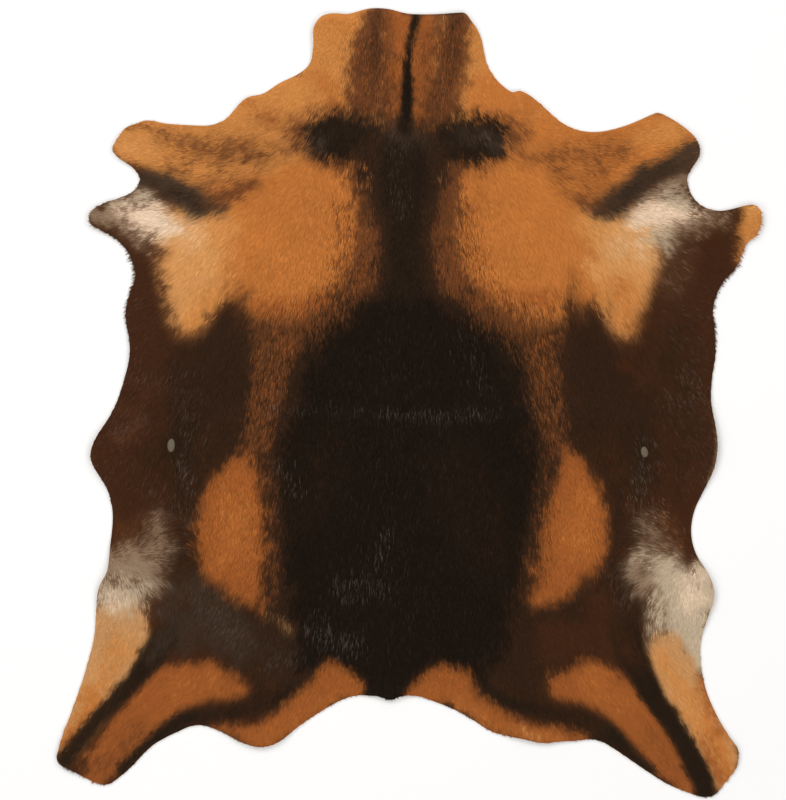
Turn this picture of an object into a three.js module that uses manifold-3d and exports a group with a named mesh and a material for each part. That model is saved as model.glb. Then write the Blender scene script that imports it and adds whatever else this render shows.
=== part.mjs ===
// A goatskin with its hair on, cut along the belly, opened out and laid flat, hair side up.
// Millimetres, +Z up. +Y runs along the back from tail to neck, +X to the right of someone looking
// down at it with the neck at the far end. The origin is under the middle of the skin.
import * as THREE from 'three';
import { mergeVertices } from 'three/addons/utils/BufferGeometryUtils.js';
import Module from 'manifold-3d';

// Driving dimensions
const LENGTH = 900; // neck cut to the lower end of the hind legs
const SKIN = 1.6; // tanned skin alone
const COAT_AT_RIM = 0.9; // hair lying over the cut edge
const COAT_ON_BACK = 3.4; // hair lying over the middle of the back
const COAT_FULL_AT = 90; // way in from the rim to where the coat is deepest
const LUMP_HEIGHT = 0.5; // unevenness of the coat between one lock and the next
const LUMP_WIDTH = 34;
const CELL = 20; // spacing of the points that carry folds and coat
const RIM_STEP = 9; // spacing of points along a clean cut rim
const TUFT_PITCH = 9; // one lock of hair to the next, where hair stands past the rim

// The tables give places on a skin of this length, as [across, along] from its middle.
const DRAWN_LENGTH = 900;
const SCALE = LENGTH / DRAWN_LENGTH;

// The rim clockwise from the right corner of the neck. A stretch that starts at a cut corner breaks
// the curve there, and tufts is how far locks of hair stand past the cut.
const RIM = [
  { stretch: 'neck, right side', corner: true, tufts: 0,
    points: [[64, 445], [71, 434], [77, 427], [83, 411], [87, 390], [95, 374], [107, 361]] },
  { stretch: 'right shoulder', corner: true, tufts: 0,
    points: [[118, 353], [125, 357], [137, 351], [169, 323], [183, 314], [210, 309], [242, 315]] },
  { stretch: 'right foreleg end', corner: true, tufts: 0,
    points: [[283, 332], [297, 325], [317, 311], [328, 298], [331, 284], [323, 270]] },
  { stretch: 'right elbow bay', corner: false, tufts: 0,
    points: [[316, 257], [320, 240], [331, 226], [354, 219], [374, 223]] },
  { stretch: 'right elbow tip', corner: false, tufts: 2,
    points: [[388, 226], [399, 220], [400, 209], [394, 191]] },
  { stretch: 'right breast edge', corner: false, tufts: 3,
    points: [[386, 186], [376, 166], [369, 152], [354, 136], [347, 118], [345, 95], [348, 72]] },
  { stretch: 'right flank', corner: false, tufts: 0,
    points: [[345, 32], [343, 4], [350, -43], [347, -72], [324, -124], [321, -150]] },
  { stretch: 'right groin', corner: false, tufts: 0,
    points: [[327, -173], [340, -194], [347, -216], [340, -242], [332, -270], [332, -297]] },
  { stretch: 'right hind leg, outer side', corner: false, tufts: 0,
    points: [[338, -327], [352, -359], [366, -382]] },
  { stretch: 'right hind leg end', corner: true, tufts: 2.5,
    points: [[375, -395], [372, -412], [361, -429], [350, -442], [338, -448]] },
  { stretch: 'right hind leg, inner side', corner: false, tufts: 0,
    points: [[320, -444], [295, -434], [268, -417], [234, -394]] },
  { stretch: 'right rump hem', corner: false, tufts: 2,
    points: [[214, -383], [177, -384], [149, -385], [120, -379]] },
  { stretch: 'right rump', corner: false, tufts: 0,
    points: [[94, -374], [78, -364], [52, -349], [27, -339]] },
  { stretch: 'tail stump', corner: false, tufts: 2,
    points: [[1, -331], [-12, -333], [-22, -338], [-32, -333]] },
  { stretch: 'left rump', corner: false, tufts: 0,
    points: [[-56, -332], [-76, -337], [-128, -369], [-148, -385], [-168, -391], [-190, -386], [-216, -373]] },
  { stretch: 'left hind leg, inner side', corner: false, tufts: 0,
    points: [[-242, -366], [-266, -375], [-292, -389], [-319, -416]] },
  { stretch: 'left hind leg end', corner: false, tufts: 2.5,
    points: [[-336, -430], [-345, -434], [-364, -428], [-385, -417], [-397, -410]] },
  { stretch: 'left hind leg, outer side', corner: true, tufts: 0,
    points: [[-402, -404], [-396, -381], [-381, -341], [-367, -298], [-359, -266], [-357, -242]] },
  { stretch: 'left groin', corner: false, tufts: 0,
    points: [[-353, -208], [-344, -192], [-341, -165], [-338, -124]] },
  { stretch: 'left flank', corner: false, tufts: 0,
    points: [[-344, -97], [-359, -72], [-363, -59], [-357, -40], [-338, -9], [-325, 26], [-318, 59]] },
  { stretch: 'left breast edge', corner: false, tufts: 3,
    points: [[-321, 88], [-323, 99], [-318, 123], [-311, 149], [-318, 169], [-331, 187], [-352, 198]] },
  { stretch: 'left elbow tip', corner: false, tufts: 0,
    points: [[-365, 209], [-363, 218], [-349, 227], [-325, 236], [-312, 243]] },
  { stretch: 'left elbow bay', corner: false, tufts: 0,
    points: [[-306, 255], [-314, 268], [-332, 280]] },
  { stretch: 'left foreleg end', corner: false, tufts: 0,
    points: [[-339, 288], [-331, 303], [-322, 315], [-310, 319]] },
  { stretch: 'left shoulder', corner: false, tufts: 0,
    points: [[-300, 323], [-279, 319], [-250, 317], [-225, 317], [-207, 325]] },
  { stretch: 'neck, left side', corner: false, tufts: 0,
    points: [[-197, 337], [-184, 349], [-168, 352], [-148, 365], [-125, 376], [-113, 387], [-109, 412]] },
  { stretch: 'neck cut', corner: false, tufts: 0,
    points: [[-110, 425], [-100, 441], [-82, 444], [-71, 443], [-46, 450], [-21, 449], [-4, 444], [23, 443]] },
];

// Soft folds that lift the skin off the surface, each a ridge between two places.
const FOLDS = [
  { fold: 'back line', from: [-5, 330], to: [-20, -325], rise: 2.2, halfWidth: 32 },
  { fold: 'cross fold', from: [-193, -17], to: [274, -13], rise: 2, halfWidth: 30 },
  { fold: 'mane crease', from: [9, 440], to: [-5, 330], rise: 1.8, halfWidth: 26 },
  { fold: 'left flank fold', from: [-266, -148], to: [-262, -232], rise: 3, halfWidth: 30 },
  { fold: 'right flank fold', from: [262, -155], to: [272, -238], rise: 3, halfWidth: 30 },
  { fold: 'left shoulder pucker', from: [-190, 341], to: [-142, 290], rise: 2.4, halfWidth: 27 },
  { fold: 'right shoulder pucker', from: [122, 350], to: [160, 304], rise: 2.4, halfWidth: 27 },
  { fold: 'right hem pucker', from: [132, -380], to: [117, -325], rise: 2.2, halfWidth: 26 },
];

// Places on the rim where the dried skin curls up off the surface.
const CURLS = [
  { place: 'neck, left corner', at: [-108, 434], reach: 58, rise: 5 },
  { place: 'neck, right corner', at: [64, 445], reach: 52, rise: 4 },
  { place: 'right foreleg end', at: [330, 289], reach: 50, rise: 4 },
  { place: 'right elbow tip', at: [401, 214], reach: 58, rise: 5 },
  { place: 'right flank', at: [351, -47], reach: 78, rise: 7 },
  { place: 'right groin', at: [347, -215], reach: 62, rise: 6 },
  { place: 'right hind leg end', at: [375, -395], reach: 48, rise: 3 },
  { place: 'right rump', at: [150, -386], reach: 55, rise: 4 },
  { place: 'tail stump', at: [-22, -338], reach: 45, rise: 3 },
  { place: 'left rump', at: [-168, -391], reach: 62, rise: 5 },
  { place: 'left hind leg end', at: [-402, -406], reach: 50, rise: 3 },
  { place: 'left groin', at: [-349, -200], reach: 58, rise: 5 },
  { place: 'left flank', at: [-363, -59], reach: 72, rise: 6 },
  { place: 'left breast hollow', at: [-318, 61], reach: 48, rise: 3 },
  { place: 'left elbow tip', at: [-366, 213], reach: 52, rise: 5 },
  { place: 'left foreleg end', at: [-338, 289], reach: 50, rise: 4 },
];

const HAIR = new THREE.MeshStandardMaterial({ name: 'goat hair', color: 0x4a2f1f, roughness: 0.62, metalness: 0 });

const wasm = await Module();
wasm.setup();

const GOLDEN_ANGLE = Math.PI * (3 - Math.sqrt(5));

/** A soft bump that is 1 at its middle and runs out level at a distance of reach. */
function bump(distance, reach) {
  const t = Math.min(distance / reach, 1);
  return (1 - t * t) ** 2;
}

/** How far (x, y) lies from the straight line between two places. */
function distanceToLine(x, y, [ax, ay], [bx, by]) {
  const along = ((x - ax) * (bx - ax) + (y - ay) * (by - ay)) / ((bx - ax) ** 2 + (by - ay) ** 2);
  const t = THREE.MathUtils.clamp(along, 0, 1);
  return Math.hypot(x - ax - t * (bx - ax), y - ay - t * (by - ay));
}

/** The rim's stations in order, each with its stretch's tufts and whether it is a cut corner. */
function rimStations() {
  return RIM.flatMap(({ corner, tufts, points }) => points.map(([x, y], index) => ({
    place: new THREE.Vector3(x * SCALE, y * SCALE, 0),
    corner: corner && index === 0,
    tufts,
  })));
}

/** The rim split at its corners into runs of stations, the last run closing on the first corner. */
function rimRuns() {
  const stations = rimStations();
  const runs = [];
  for (const station of [...stations, stations[0]]) {
    if (runs.length > 0) runs.at(-1).push(station);
    if (station.corner) runs.push([station]);
  }
  return runs.slice(0, -1);
}

/** The rim as a closed line of points, smooth between corners, with locks where hair stands past it. */
function rimLine() {
  const line = [];
  for (const run of rimRuns()) {
    const curve = new THREE.CatmullRomCurve3(run.map(({ place }) => place), false, 'centripetal');
    const segments = run.length - 1;
    for (let i = 0; i < segments; i += 1) {
      const { place, tufts } = run[i];
      const step = tufts > 0 ? TUFT_PITCH / 2 : RIM_STEP;
      const count = Math.max(1, Math.round(place.distanceTo(run[i + 1].place) / step));
      for (let j = 0; j < count; j += 1) {
        const u = (i + j / count) / segments;
        const point = curve.getPoint(u);
        const along = curve.getTangent(u);
        const uneven = 0.6 + 0.4 * Math.sin(GOLDEN_ANGLE * line.length);
        const out = line.length % 2 === 0 ? tufts * uneven : 0;
        line.push(new THREE.Vector2(point.x - along.y * out, point.y + along.x * out));
      }
    }
  }
  return line;
}

/** How far inside the rim (x, y) lies, counted from the nearest point of the line. */
function distanceToRim(x, y, line) {
  return line.reduce((nearest, point, i) => {
    const next = line[(i + 1) % line.length];
    return Math.min(nearest, distanceToLine(x, y, [point.x, point.y], [next.x, next.y]));
  }, Infinity);
}

/** Height of the underside: nothing where the skin lies on the surface, more at folds and curled rims. */
function lift(x, y) {
  const ridges = FOLDS.map(({ from, to, rise, halfWidth }) => {
    const distance = distanceToLine(x / SCALE, y / SCALE, from, to);
    return rise * bump(distance, halfWidth);
  });
  const curls = CURLS.map(({ at, reach, rise }) => {
    const distance = Math.hypot(x / SCALE - at[0], y / SCALE - at[1]);
    return rise * bump(distance, reach);
  });
  return Math.max(...ridges) + Math.max(...curls);
}

/** Skin and lying hair together: thin at the rim, deepest and gently lumpy along the back. */
function thickness(x, y, line) {
  const inward = THREE.MathUtils.smoothstep(distanceToRim(x, y, line), 0, COAT_FULL_AT);
  const lump = Math.sin(x / LUMP_WIDTH + Math.sin(y / LUMP_WIDTH)) * Math.cos(y / LUMP_WIDTH);
  const coat = THREE.MathUtils.lerp(COAT_AT_RIM, COAT_ON_BACK, inward);
  return SKIN + coat + LUMP_HEIGHT * lump * inward;
}

/** A closed solid from a geometry, with its shared points merged. */
function solidFrom(geometry) {
  const bare = geometry.clone();
  bare.deleteAttribute('normal');
  bare.deleteAttribute('uv');
  const merged = mergeVertices(bare);
  return new wasm.Manifold(new wasm.Mesh({
    numProp: 3,
    vertProperties: new Float32Array(merged.attributes.position.array),
    triVerts: new Uint32Array(merged.index.array),
  }));
}

/** A geometry from a closed solid. */
function geometryFrom(solid) {
  const { vertProperties, triVerts } = solid.getMesh();
  const geometry = new THREE.BufferGeometry();
  geometry.setAttribute('position', new THREE.BufferAttribute(vertProperties, 3));
  geometry.setIndex(new THREE.BufferAttribute(triVerts, 1));
  geometry.computeVertexNormals();
  return geometry;
}

/** A wide rectangle of skin and coat with every fold and curl in it, before it is cut to its outline. */
function uncutSheet(line) {
  const { min, max } = new THREE.Box2().setFromPoints(line).expandByScalar(CELL);
  const columns = Math.ceil((max.x - min.x) / CELL);
  const rows = Math.ceil((max.y - min.y) / CELL);
  const sheet = new THREE.BoxGeometry(max.x - min.x, max.y - min.y, 1, columns, rows, 1);
  sheet.translate((min.x + max.x) / 2, (min.y + max.y) / 2, 0);
  const { position } = sheet.attributes;
  for (let i = 0; i < position.count; i += 1) {
    const x = position.getX(i);
    const y = position.getY(i);
    const above = position.getZ(i) > 0 ? thickness(x, y, line) : 0;
    position.setZ(i, lift(x, y) + above);
  }
  return sheet;
}

/** An upright prism on the rim line, tall enough to take in every fold. */
function outlinePrism(line) {
  const margin = 10;
  const highest = Math.max(...FOLDS.map(({ rise }) => rise)) + Math.max(...CURLS.map(({ rise }) => rise));
  const height = highest + SKIN + COAT_ON_BACK + LUMP_HEIGHT;
  const prism = new THREE.ExtrudeGeometry(new THREE.Shape(line), {
    depth: height + 2 * margin,
    steps: 1,
    bevelEnabled: false,
  });
  return prism.translate(0, 0, -margin);
}

/** The whole skin in one piece, standing on z = 0 with the middle of its box over the origin. */
function goatskin() {
  const line = rimLine();
  const cut = solidFrom(uncutSheet(line)).intersect(solidFrom(outlinePrism(line)));
  const geometry = geometryFrom(cut);
  geometry.computeBoundingBox();
  const middle = geometry.boundingBox.getCenter(new THREE.Vector3());
  geometry.translate(-middle.x, -middle.y, 0);
  const mesh = new THREE.Mesh(geometry, HAIR);
  mesh.name = 'goatskin';
  return mesh;
}

const part = new THREE.Group();
part.add(goatskin());

export default part;
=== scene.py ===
"""A goatskin with its hair on, laid flat: the skin, its coat of hair and the studio it lies in."""

import logging
import math
from dataclasses import dataclass
from enum import Enum

import bmesh
import bpy
import numpy as np
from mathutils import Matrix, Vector
from mathutils.bvhtree import BVHTree
from mathutils.geometry import delaunay_2d_cdt
from mathutils.kdtree import KDTree


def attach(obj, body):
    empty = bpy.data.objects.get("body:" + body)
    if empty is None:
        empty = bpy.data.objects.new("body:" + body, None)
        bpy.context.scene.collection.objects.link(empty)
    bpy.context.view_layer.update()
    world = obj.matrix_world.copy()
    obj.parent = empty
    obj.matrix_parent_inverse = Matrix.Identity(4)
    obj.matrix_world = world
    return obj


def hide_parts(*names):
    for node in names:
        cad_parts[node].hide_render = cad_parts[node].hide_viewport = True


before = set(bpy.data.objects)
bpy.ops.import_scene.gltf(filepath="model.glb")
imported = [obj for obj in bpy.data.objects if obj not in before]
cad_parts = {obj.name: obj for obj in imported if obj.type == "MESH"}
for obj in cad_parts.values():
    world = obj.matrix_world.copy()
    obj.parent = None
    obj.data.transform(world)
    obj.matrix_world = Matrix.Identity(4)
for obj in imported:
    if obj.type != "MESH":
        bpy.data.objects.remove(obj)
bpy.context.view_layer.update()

LOG = logging.getLogger("goatskin")
Array = np.ndarray
Triple = tuple[float, float, float]
Pair = tuple[float, float]
MM = 0.001
UP = Vector((0.0, 0.0, 1.0))


class Tone(Enum):
    """The coat's hair tones, and two pale greys for painted glints, as display red, green and blue from 0
    to 255.
    """

    SOOT = (24, 15, 6)
    PITCH = (34, 22, 11)
    UMBER = (46, 28, 15)
    BARK = (61, 33, 15)
    SMOKE = (58, 44, 33)
    # painted highlight tones: the next two are pale greys painted on single locks as glints
    GLINT_DUSK = (92, 77, 65)
    GLINT_SLATE = (112, 107, 101)
    COCOA = (98, 56, 28)
    RUST = (150, 83, 36)
    TAN = (183, 109, 49)
    HONEY = (195, 126, 63)
    SAND = (204, 142, 82)
    BUFF = (190, 138, 88)
    CREAM = (228, 198, 168)
    ASH = (186, 165, 138)
    MIST = (140, 115, 92)

    def display(self) -> Array:
        """The tone's three display values."""
        return np.array(self.value, float)


@dataclass(frozen=True)
class Stroke:
    """One soft marking, a line of round dabs. Its sizes are in millimetres on the skin.

    Attributes:
        name: where the marking lies.
        tone: its hair tone.
        feather: how far its edge fades either way.
        strength: how much of the hair under it takes the tone, from 0 to 1.
        path: the dabs, each (across, along, radius).
        mottle: how much more than the rest of the coat its edge breaks up lock by lock.
    """

    name: str
    tone: Tone
    feather: float
    strength: float
    path: tuple[Triple, ...]
    mottle: float = 1.0

    def reach(self, places: Array) -> Array:
        """How far places lie outside the stroke's edge.

        Args:
            places: (n, 2) places on the skin, in millimetres.

        Returns:
            (n,) distances in millimetres, negative inside the stroke.
        """
        nearest = np.full(len(places), np.inf)
        dabs = np.array(self.path if len(self.path) > 1 else self.path * 2, float)
        for start, end in zip(dabs, dabs[1:]):
            gap, share = beside_line(places, start[:2], end[:2])
            nearest = np.minimum(nearest, gap - start[2] - share * (end[2] - start[2]))
        return nearest

    def share(self, places: Array, wander: Array | float = 0.0) -> Array:
        """How much of the hair at places takes the tone.

        Args:
            places: (n, 2) places on the skin, in millimetres.
            wander: how far the edge is shifted there, as a share of the feather.

        Returns:
            (n,) shares from 0 to the stroke's strength.
        """
        return self.strength * ease(0.5 - 0.5 * (self.reach(places) / self.feather + wander))


@dataclass(frozen=True)
class Guide:
    """Which way the hair lies round one place.

    Attributes:
        name: the place on the animal.
        across: millimetres to the right of the skin's middle.
        along: millimetres from its middle towards the neck.
        heading: the way hair points, in degrees, 0 to the right and -90 to the tail.
        reach: how far the guide is felt, in millimetres.
    """

    name: str
    across: float
    along: float
    heading: float
    reach: float


@dataclass(frozen=True)
class Ridge:
    """A soft crease that lifts the skin along a straight line, in millimetres."""

    name: str
    start: Pair
    end: Pair
    rise: float
    half_width: float

    def lift(self, places: Array) -> Array:
        """How much the crease lifts the skin at places, all in millimetres."""
        gap, _ = beside_line(places, np.array(self.start, float), np.array(self.end, float))
        return self.rise * bump(gap, self.half_width)


@dataclass(frozen=True)
class RimTuft:
    """A stretch of rim where hair stands past the cut, in millimetres."""

    name: str
    across: float
    along: float
    reach: float
    overhang: float


STROKES = (
    Stroke("back", Tone.UMBER, 68, 1, ((-6, 84, 217), (-11, -133, 262))),
    Stroke("right thigh", Tone.BARK, 18, 1, ((166, -272, 23), (206, -269, 23), (223, -224, 11))),
    Stroke("left thigh", Tone.SMOKE, 21, 0.8, ((-266, -228, 16), (-243, -207, 16), (-225, -240, 32),
            (-202, -269, 23))),
    Stroke("left thigh fore", Tone.SMOKE, 16, 0.7, ((-275, -231, 10), (-264, -258, 18),
            (-255, -278, 14))),
    Stroke("left thigh aft", Tone.SMOKE, 23, 0.45, ((-182, -281, 18), (-125, -281, 16))),
    Stroke("right hock hollow", Tone.UMBER, 16, 1, ((246, -195, 14), (254, -235, 16), (246, -269, 16))),
    Stroke("neck", Tone.HONEY, 14, 1, ((-11, 449, 108), (-11, 352, 120))),
    Stroke("left shoulder", Tone.TAN, 14, 1, ((-113, 335, 41), (-142, 249, 96), (-136, 192, 82),
            (-141, 147, 52), (-150, 118, 36))),
    Stroke("right shoulder", Tone.TAN, 14, 1, ((103, 335, 41), (140, 249, 96), (129, 192, 82),
            (135, 147, 52), (144, 118, 39))),
    Stroke("left shoulder inner", Tone.RUST, 23, 0.55, ((-71, 244, 7), (-68, 181, 10),
            (-79, 137, 11)), 1.7),
    Stroke("right shoulder inner", Tone.RUST, 23, 0.55, ((67, 244, 7), (67, 175, 13),
            (87, 132, 14)), 1.7),
    Stroke("neck left top", Tone.TAN, 16, 0.6, ((-88, 433, 14), (-65, 428, 10))),
    Stroke("left foreleg", Tone.HONEY, 11, 1, ((-147, 323, 57), (-250, 289, 48), (-307, 301, 30),
            (-324, 289, 16))),
    Stroke("left foreleg end", Tone.SAND, 14, 0.45, ((-321, 294, 16), (-296, 287, 14))),
    Stroke("right foreleg", Tone.TAN, 11, 1, ((155, 312, 57), (229, 284, 46), (280, 301, 34),
            (320, 295, 23))),
    Stroke("right foreleg end", Tone.HONEY, 14, 0.9, ((263, 301, 11), (300, 308, 18))),
    Stroke("left breast bed", Tone.HONEY, 16, 1, ((-220, 200, 27), (-218, 162, 25), (-220, 127, 11))),
    Stroke("right breast bed", Tone.HONEY, 16, 1, ((220, 200, 27), (220, 162, 25), (220, 118, 13))),
    Stroke("left shoulder point", Tone.TAN, 11, 1, ((-195, 162, 25), (-195, 132, 16))),
    Stroke("right shoulder point", Tone.TAN, 11, 1, ((199, 162, 25), (201, 127, 16))),
    Stroke("left breast", Tone.SAND, 16, 1, ((-255, 198, 32), (-253, 162, 32), (-251, 130, 30),
            (-250, 102, 23))),
    Stroke("left breast blend", Tone.SAND, 27, 0.75, ((-239, 187, 30), (-229, 155, 25))),
    Stroke("left breast foot warm", Tone.HONEY, 14, 0.8, ((-223, 116, 13), (-245, 93, 14))),
    Stroke("right breast", Tone.SAND, 16, 1, ((261, 196, 32), (254, 162, 32), (248, 130, 27),
            (246, 105, 22), (247, 84, 11))),
    Stroke("right breast blend", Tone.SAND, 27, 0.75, ((236, 187, 30), (227, 157, 23))),
    Stroke("right breast top", Tone.CREAM, 23, 0.35, ((243, 182, 9), (274, 180, 16))),
    Stroke("right breast foot warm", Tone.TAN, 16, 0.65, ((243, 123, 21), (249, 93, 16))),
    Stroke("left foreleg smudge", Tone.COCOA, 18, 0.6, ((-277, 301, 7), (-239, 288, 16),
            (-182, 287, 15))),
    Stroke("left foreleg smudge, low", Tone.COCOA, 13, 0.55, ((-275, 265, 7), (-239, 251, 8),
            (-191, 252, 8))),
    Stroke("left foreleg hem", Tone.COCOA, 5, 0.6, ((-321, 313, 2), (-300, 315, 2), (-273, 303, 3))),
    Stroke("left shoulder smudge", Tone.COCOA, 18, 0.5, ((-188, 278, 9), (-129, 287, 10))),
    Stroke("left neck smudge", Tone.COCOA, 18, 0.35, ((-168, 323, 10), (-136, 308, 10))),
    Stroke("right foreleg smudge", Tone.COCOA, 18, 0.55, ((135, 280, 9), (172, 282, 10), (215, 280, 16),
            (245, 289, 10))),
    Stroke("right foreleg smudge, low", Tone.COCOA, 16, 0.4, ((167, 262, 11), (215, 246, 9))),
    Stroke("right shoulder smudge", Tone.COCOA, 16, 0.4, ((69, 264, 11), (94, 273, 10))),
    Stroke("left armpit top", Tone.ASH, 10, 0.9, ((-337, 223, 5), (-321, 228, 7), (-300, 237, 9))),
    Stroke("right armpit under bar", Tone.MIST, 8, 0.8, ((277, 237, 7), (297, 246, 10), (313, 255, 8))),
    Stroke("left armpit", Tone.CREAM, 13, 1, ((-330, 213, 7), (-309, 214, 11), (-293, 208, 16),
            (-275, 200, 11))),
    Stroke("left armpit blend", Tone.CREAM, 25, 0.55, ((-298, 198, 18), (-250, 194, 11))),
    Stroke("right armpit", Tone.CREAM, 13, 1, ((266, 211, 15), (290, 215, 19), (311, 213, 11))),
    Stroke("right armpit tail", Tone.CREAM, 9, 0.6, ((315, 213, 8), (345, 211, 5))),
    Stroke("right armpit top", Tone.ASH, 11, 0.85, ((295, 237, 9), (313, 232, 9))),
    Stroke("left elbow tip", Tone.MIST, 11, 0.9, ((-362, 215, 8), (-348, 212, 8), (-334, 206, 6))),
    Stroke("left elbow hem", Tone.BARK, 6, 0.35, ((-369, 211, 2), (-362, 201, 2), (-339, 191, 3),
            (-325, 186, 5))),
    Stroke("left breast rim", Tone.BARK, 10, 1, ((-339, 181, 8), (-323, 162, 19), (-314, 123, 22),
            (-309, 73, 30))),
    Stroke("left breast grey", Tone.MIST, 9, 0.4, ((-327, 195, 5), (-307, 181, 6))),
    Stroke("right flank rim", Tone.BARK, 10, 1, ((352, 200, 11), (334, 162, 36), (320, 118, 39),
            (309, 67, 43))),
    Stroke("right armpit low", Tone.ASH, 11, 0.9, ((284, 191, 11), (295, 182, 10))),
    Stroke("right elbow", Tone.BARK, 10, 1, ((366, 205, 8), (351, 183, 16))),
    Stroke("right elbow grey", Tone.MIST, 14, 0.6, ((313, 191, 10), (334, 203, 9), (361, 209, 6))),
    Stroke("right flank grey", Tone.MIST, 16, 0.25, ((309, 164, 14), (304, 130, 11))),
    Stroke("right elbow tip", Tone.HONEY, 9, 0.95, ((394, 213, 16), (386, 182, 10), (378, 166, 5))),
    Stroke("right elbow tip pale", Tone.SAND, 9, 0.6, ((391, 219, 9),)),
    Stroke("left foreleg bar", Tone.SMOKE, 10, 0.9, ((-300, 256, 9), (-284, 253, 10), (-264, 241, 15),
            (-241, 224, 16), (-219, 223, 11))),
    Stroke("left foreleg bar heart", Tone.PITCH, 8, 0.35, ((-266, 239, 6), (-243, 224, 8))),
    Stroke("left foreleg bar tail", Tone.COCOA, 10, 0.85, ((-223, 229, 9), (-195, 237, 8),
            (-177, 248, 6))),
    Stroke("right foreleg bar", Tone.SMOKE, 10, 0.9, ((322, 284, 14), (292, 269, 11), (263, 255, 13),
            (240, 227, 16), (215, 222, 10))),
    Stroke("right foreleg bar heart", Tone.PITCH, 8, 0.3, ((295, 272, 5), (263, 255, 5), (238, 225, 9),
            (220, 221, 7))),
    Stroke("right foreleg bar tail", Tone.COCOA, 11, 0.85, ((215, 228, 7), (192, 232, 6))),
    Stroke("mane bed", Tone.RUST, 8, 1, ((2, 449, 30), (-1, 409, 30), (-1, 369, 30), (-1, 333, 30))),
    Stroke("mane bed shade", Tone.COCOA, 8, 0.4, ((-22, 420, 6), (-21, 346, 8))),
    Stroke("mane bed shade right", Tone.COCOA, 8, 0.45, ((17, 415, 7), (17, 346, 10))),
    Stroke("left neck band", Tone.COCOA, 14, 1, ((-36, 451, 11), (-39, 426, 15), (-46, 398, 23),
            (-48, 369, 23), (-47, 341, 23))),
    Stroke("left neck band heart", Tone.UMBER, 9, 0.35, ((-37, 451, 6), (-39, 428, 5), (-38, 386, 7))),
    Stroke("right neck band", Tone.COCOA, 13, 1, ((51, 447, 19), (50, 409, 21), (45, 369, 19),
            (37, 335, 21))),
    Stroke("right neck band heart", Tone.UMBER, 9, 0.3, ((52, 447, 7), (46, 392, 8))),
    Stroke("neck foot shade", Tone.COCOA, 14, 0.5, ((-42, 333, 14), (-17, 338, 10), (11, 338, 10),
            (33, 333, 11))),
    Stroke("mane", Tone.SOOT, 5, 1, ((8, 445, 5), (5, 428, 5), (1, 409, 5), (-1, 386, 5), (-2, 358, 6),
            (-2, 333, 6), (-4, 312, 8))),
    Stroke("neck hem", Tone.UMBER, 2, 0.8, ((-6, 445, 2), (30, 444, 2), (62, 445, 2))),
    Stroke("cross fringe left", Tone.COCOA, 16, 0.85, ((-86, 303, 27), (-120, 305, 18))),
    Stroke("cross fringe right", Tone.COCOA, 15, 0.9, ((81, 301, 25), (117, 305, 16))),
    Stroke("cross fringe left, top", Tone.COCOA, 10, 0.75, ((-113, 329, 5), (-86, 334, 6))),
    Stroke("cross fringe left, foot", Tone.COCOA, 10, 0.75, ((-125, 289, 6), (-99, 273, 6),
            (-72, 269, 6))),
    Stroke("cross", Tone.PITCH, 10, 1, ((-93, 302, 25), (-74, 300, 31), (-42, 292, 26), (-5, 280, 23),
            (33, 287, 26), (67, 297, 30), (90, 300, 24)), 1.7),
    Stroke("cross top", Tone.PITCH, 9, 0.8, ((-38, 319, 8),)),
    Stroke("cross crest right", Tone.PITCH, 9, 0.6, ((62, 325, 6), (74, 325, 7))),
    # painted highlights: a paler smoke tone on the cross's arms, where its hair shines
    Stroke("cross painted sheen right", Tone.SMOKE, 9, 0.6, ((64, 305, 10), (87, 301, 10), (101, 294, 9))),
    Stroke("cross painted sheen left", Tone.SMOKE, 9, 0.6, ((-111, 292, 7), (-102, 296, 8))),
    Stroke("withers shade left", Tone.COCOA, 18, 0.85, ((-58, 264, 14), (-46, 232, 17), (-44, 187, 13),
            (-52, 137, 13)), 1.7),
    Stroke("withers shade right", Tone.COCOA, 18, 0.9, ((49, 262, 16), (42, 232, 19), (40, 187, 15),
            (49, 137, 15)), 1.7),
    Stroke("withers", Tone.UMBER, 14, 1, ((-6, 272, 51), (-5, 249, 46), (-4, 229, 39), (-4, 204, 26),
            (-4, 175, 17), (-5, 135, 27)), 1.7),
    Stroke("withers heart", Tone.PITCH, 9, 1, ((-5, 287, 26), (-6, 238, 27), (-5, 204, 18), (-5, 175, 15),
            (-5, 118, 27))),
    # painted highlight: a paler smoke tone in the middle of the cross, where its hair shines
    Stroke("cross painted sheen", Tone.SMOKE, 11, 0.7, ((-20, 309, 9), (-5, 301, 10), (17, 297, 9))),
    Stroke("cross dip", Tone.COCOA, 8, 0.4, ((-22, 318, 7), (10, 313, 7), (24, 315, 7))),
    Stroke("mane foot", Tone.SOOT, 5, 0.8, ((-3, 333, 6), (-4, 312, 7))),
    Stroke("left link", Tone.COCOA, 16, 0.72, ((-151, 78, 32), (-159, 44, 25), (-162, 4, 18),
            (-170, -30, 16), (-179, -53, 15)), 1.7),
    Stroke("left link heart", Tone.RUST, 14, 0.25, ((-150, 98, 14), (-154, 75, 7)), 1.7),
    Stroke("left shoulder foot", Tone.RUST, 11, 0.8, ((-168, 109, 9), (-125, 107, 14),
            (-90, 118, 9)), 1.7),
    Stroke("right link", Tone.COCOA, 16, 0.62, ((149, 78, 27), (152, 38, 23), (156, 4, 17),
            (163, -30, 13), (172, -53, 13)), 1.7),
    Stroke("right link heart", Tone.RUST, 14, 0.35, ((147, 93, 18), (154, 61, 11), (156, 33, 6)), 1.7),
    Stroke("right shoulder foot", Tone.RUST, 11, 0.75, ((85, 121, 8), (117, 118, 10),
            (163, 116, 10)), 1.7),
    Stroke("left shoulder mottle", Tone.COCOA, 23, 0.55, ((-129, 75, 9), (-79, 102, 9),
            (-49, 143, 9)), 1.7),
    Stroke("right shoulder mottle", Tone.COCOA, 21, 0.85, ((53, 139, 8), (87, 95, 10), (122, 89, 13),
            (140, 86, 10)), 1.7),
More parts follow.
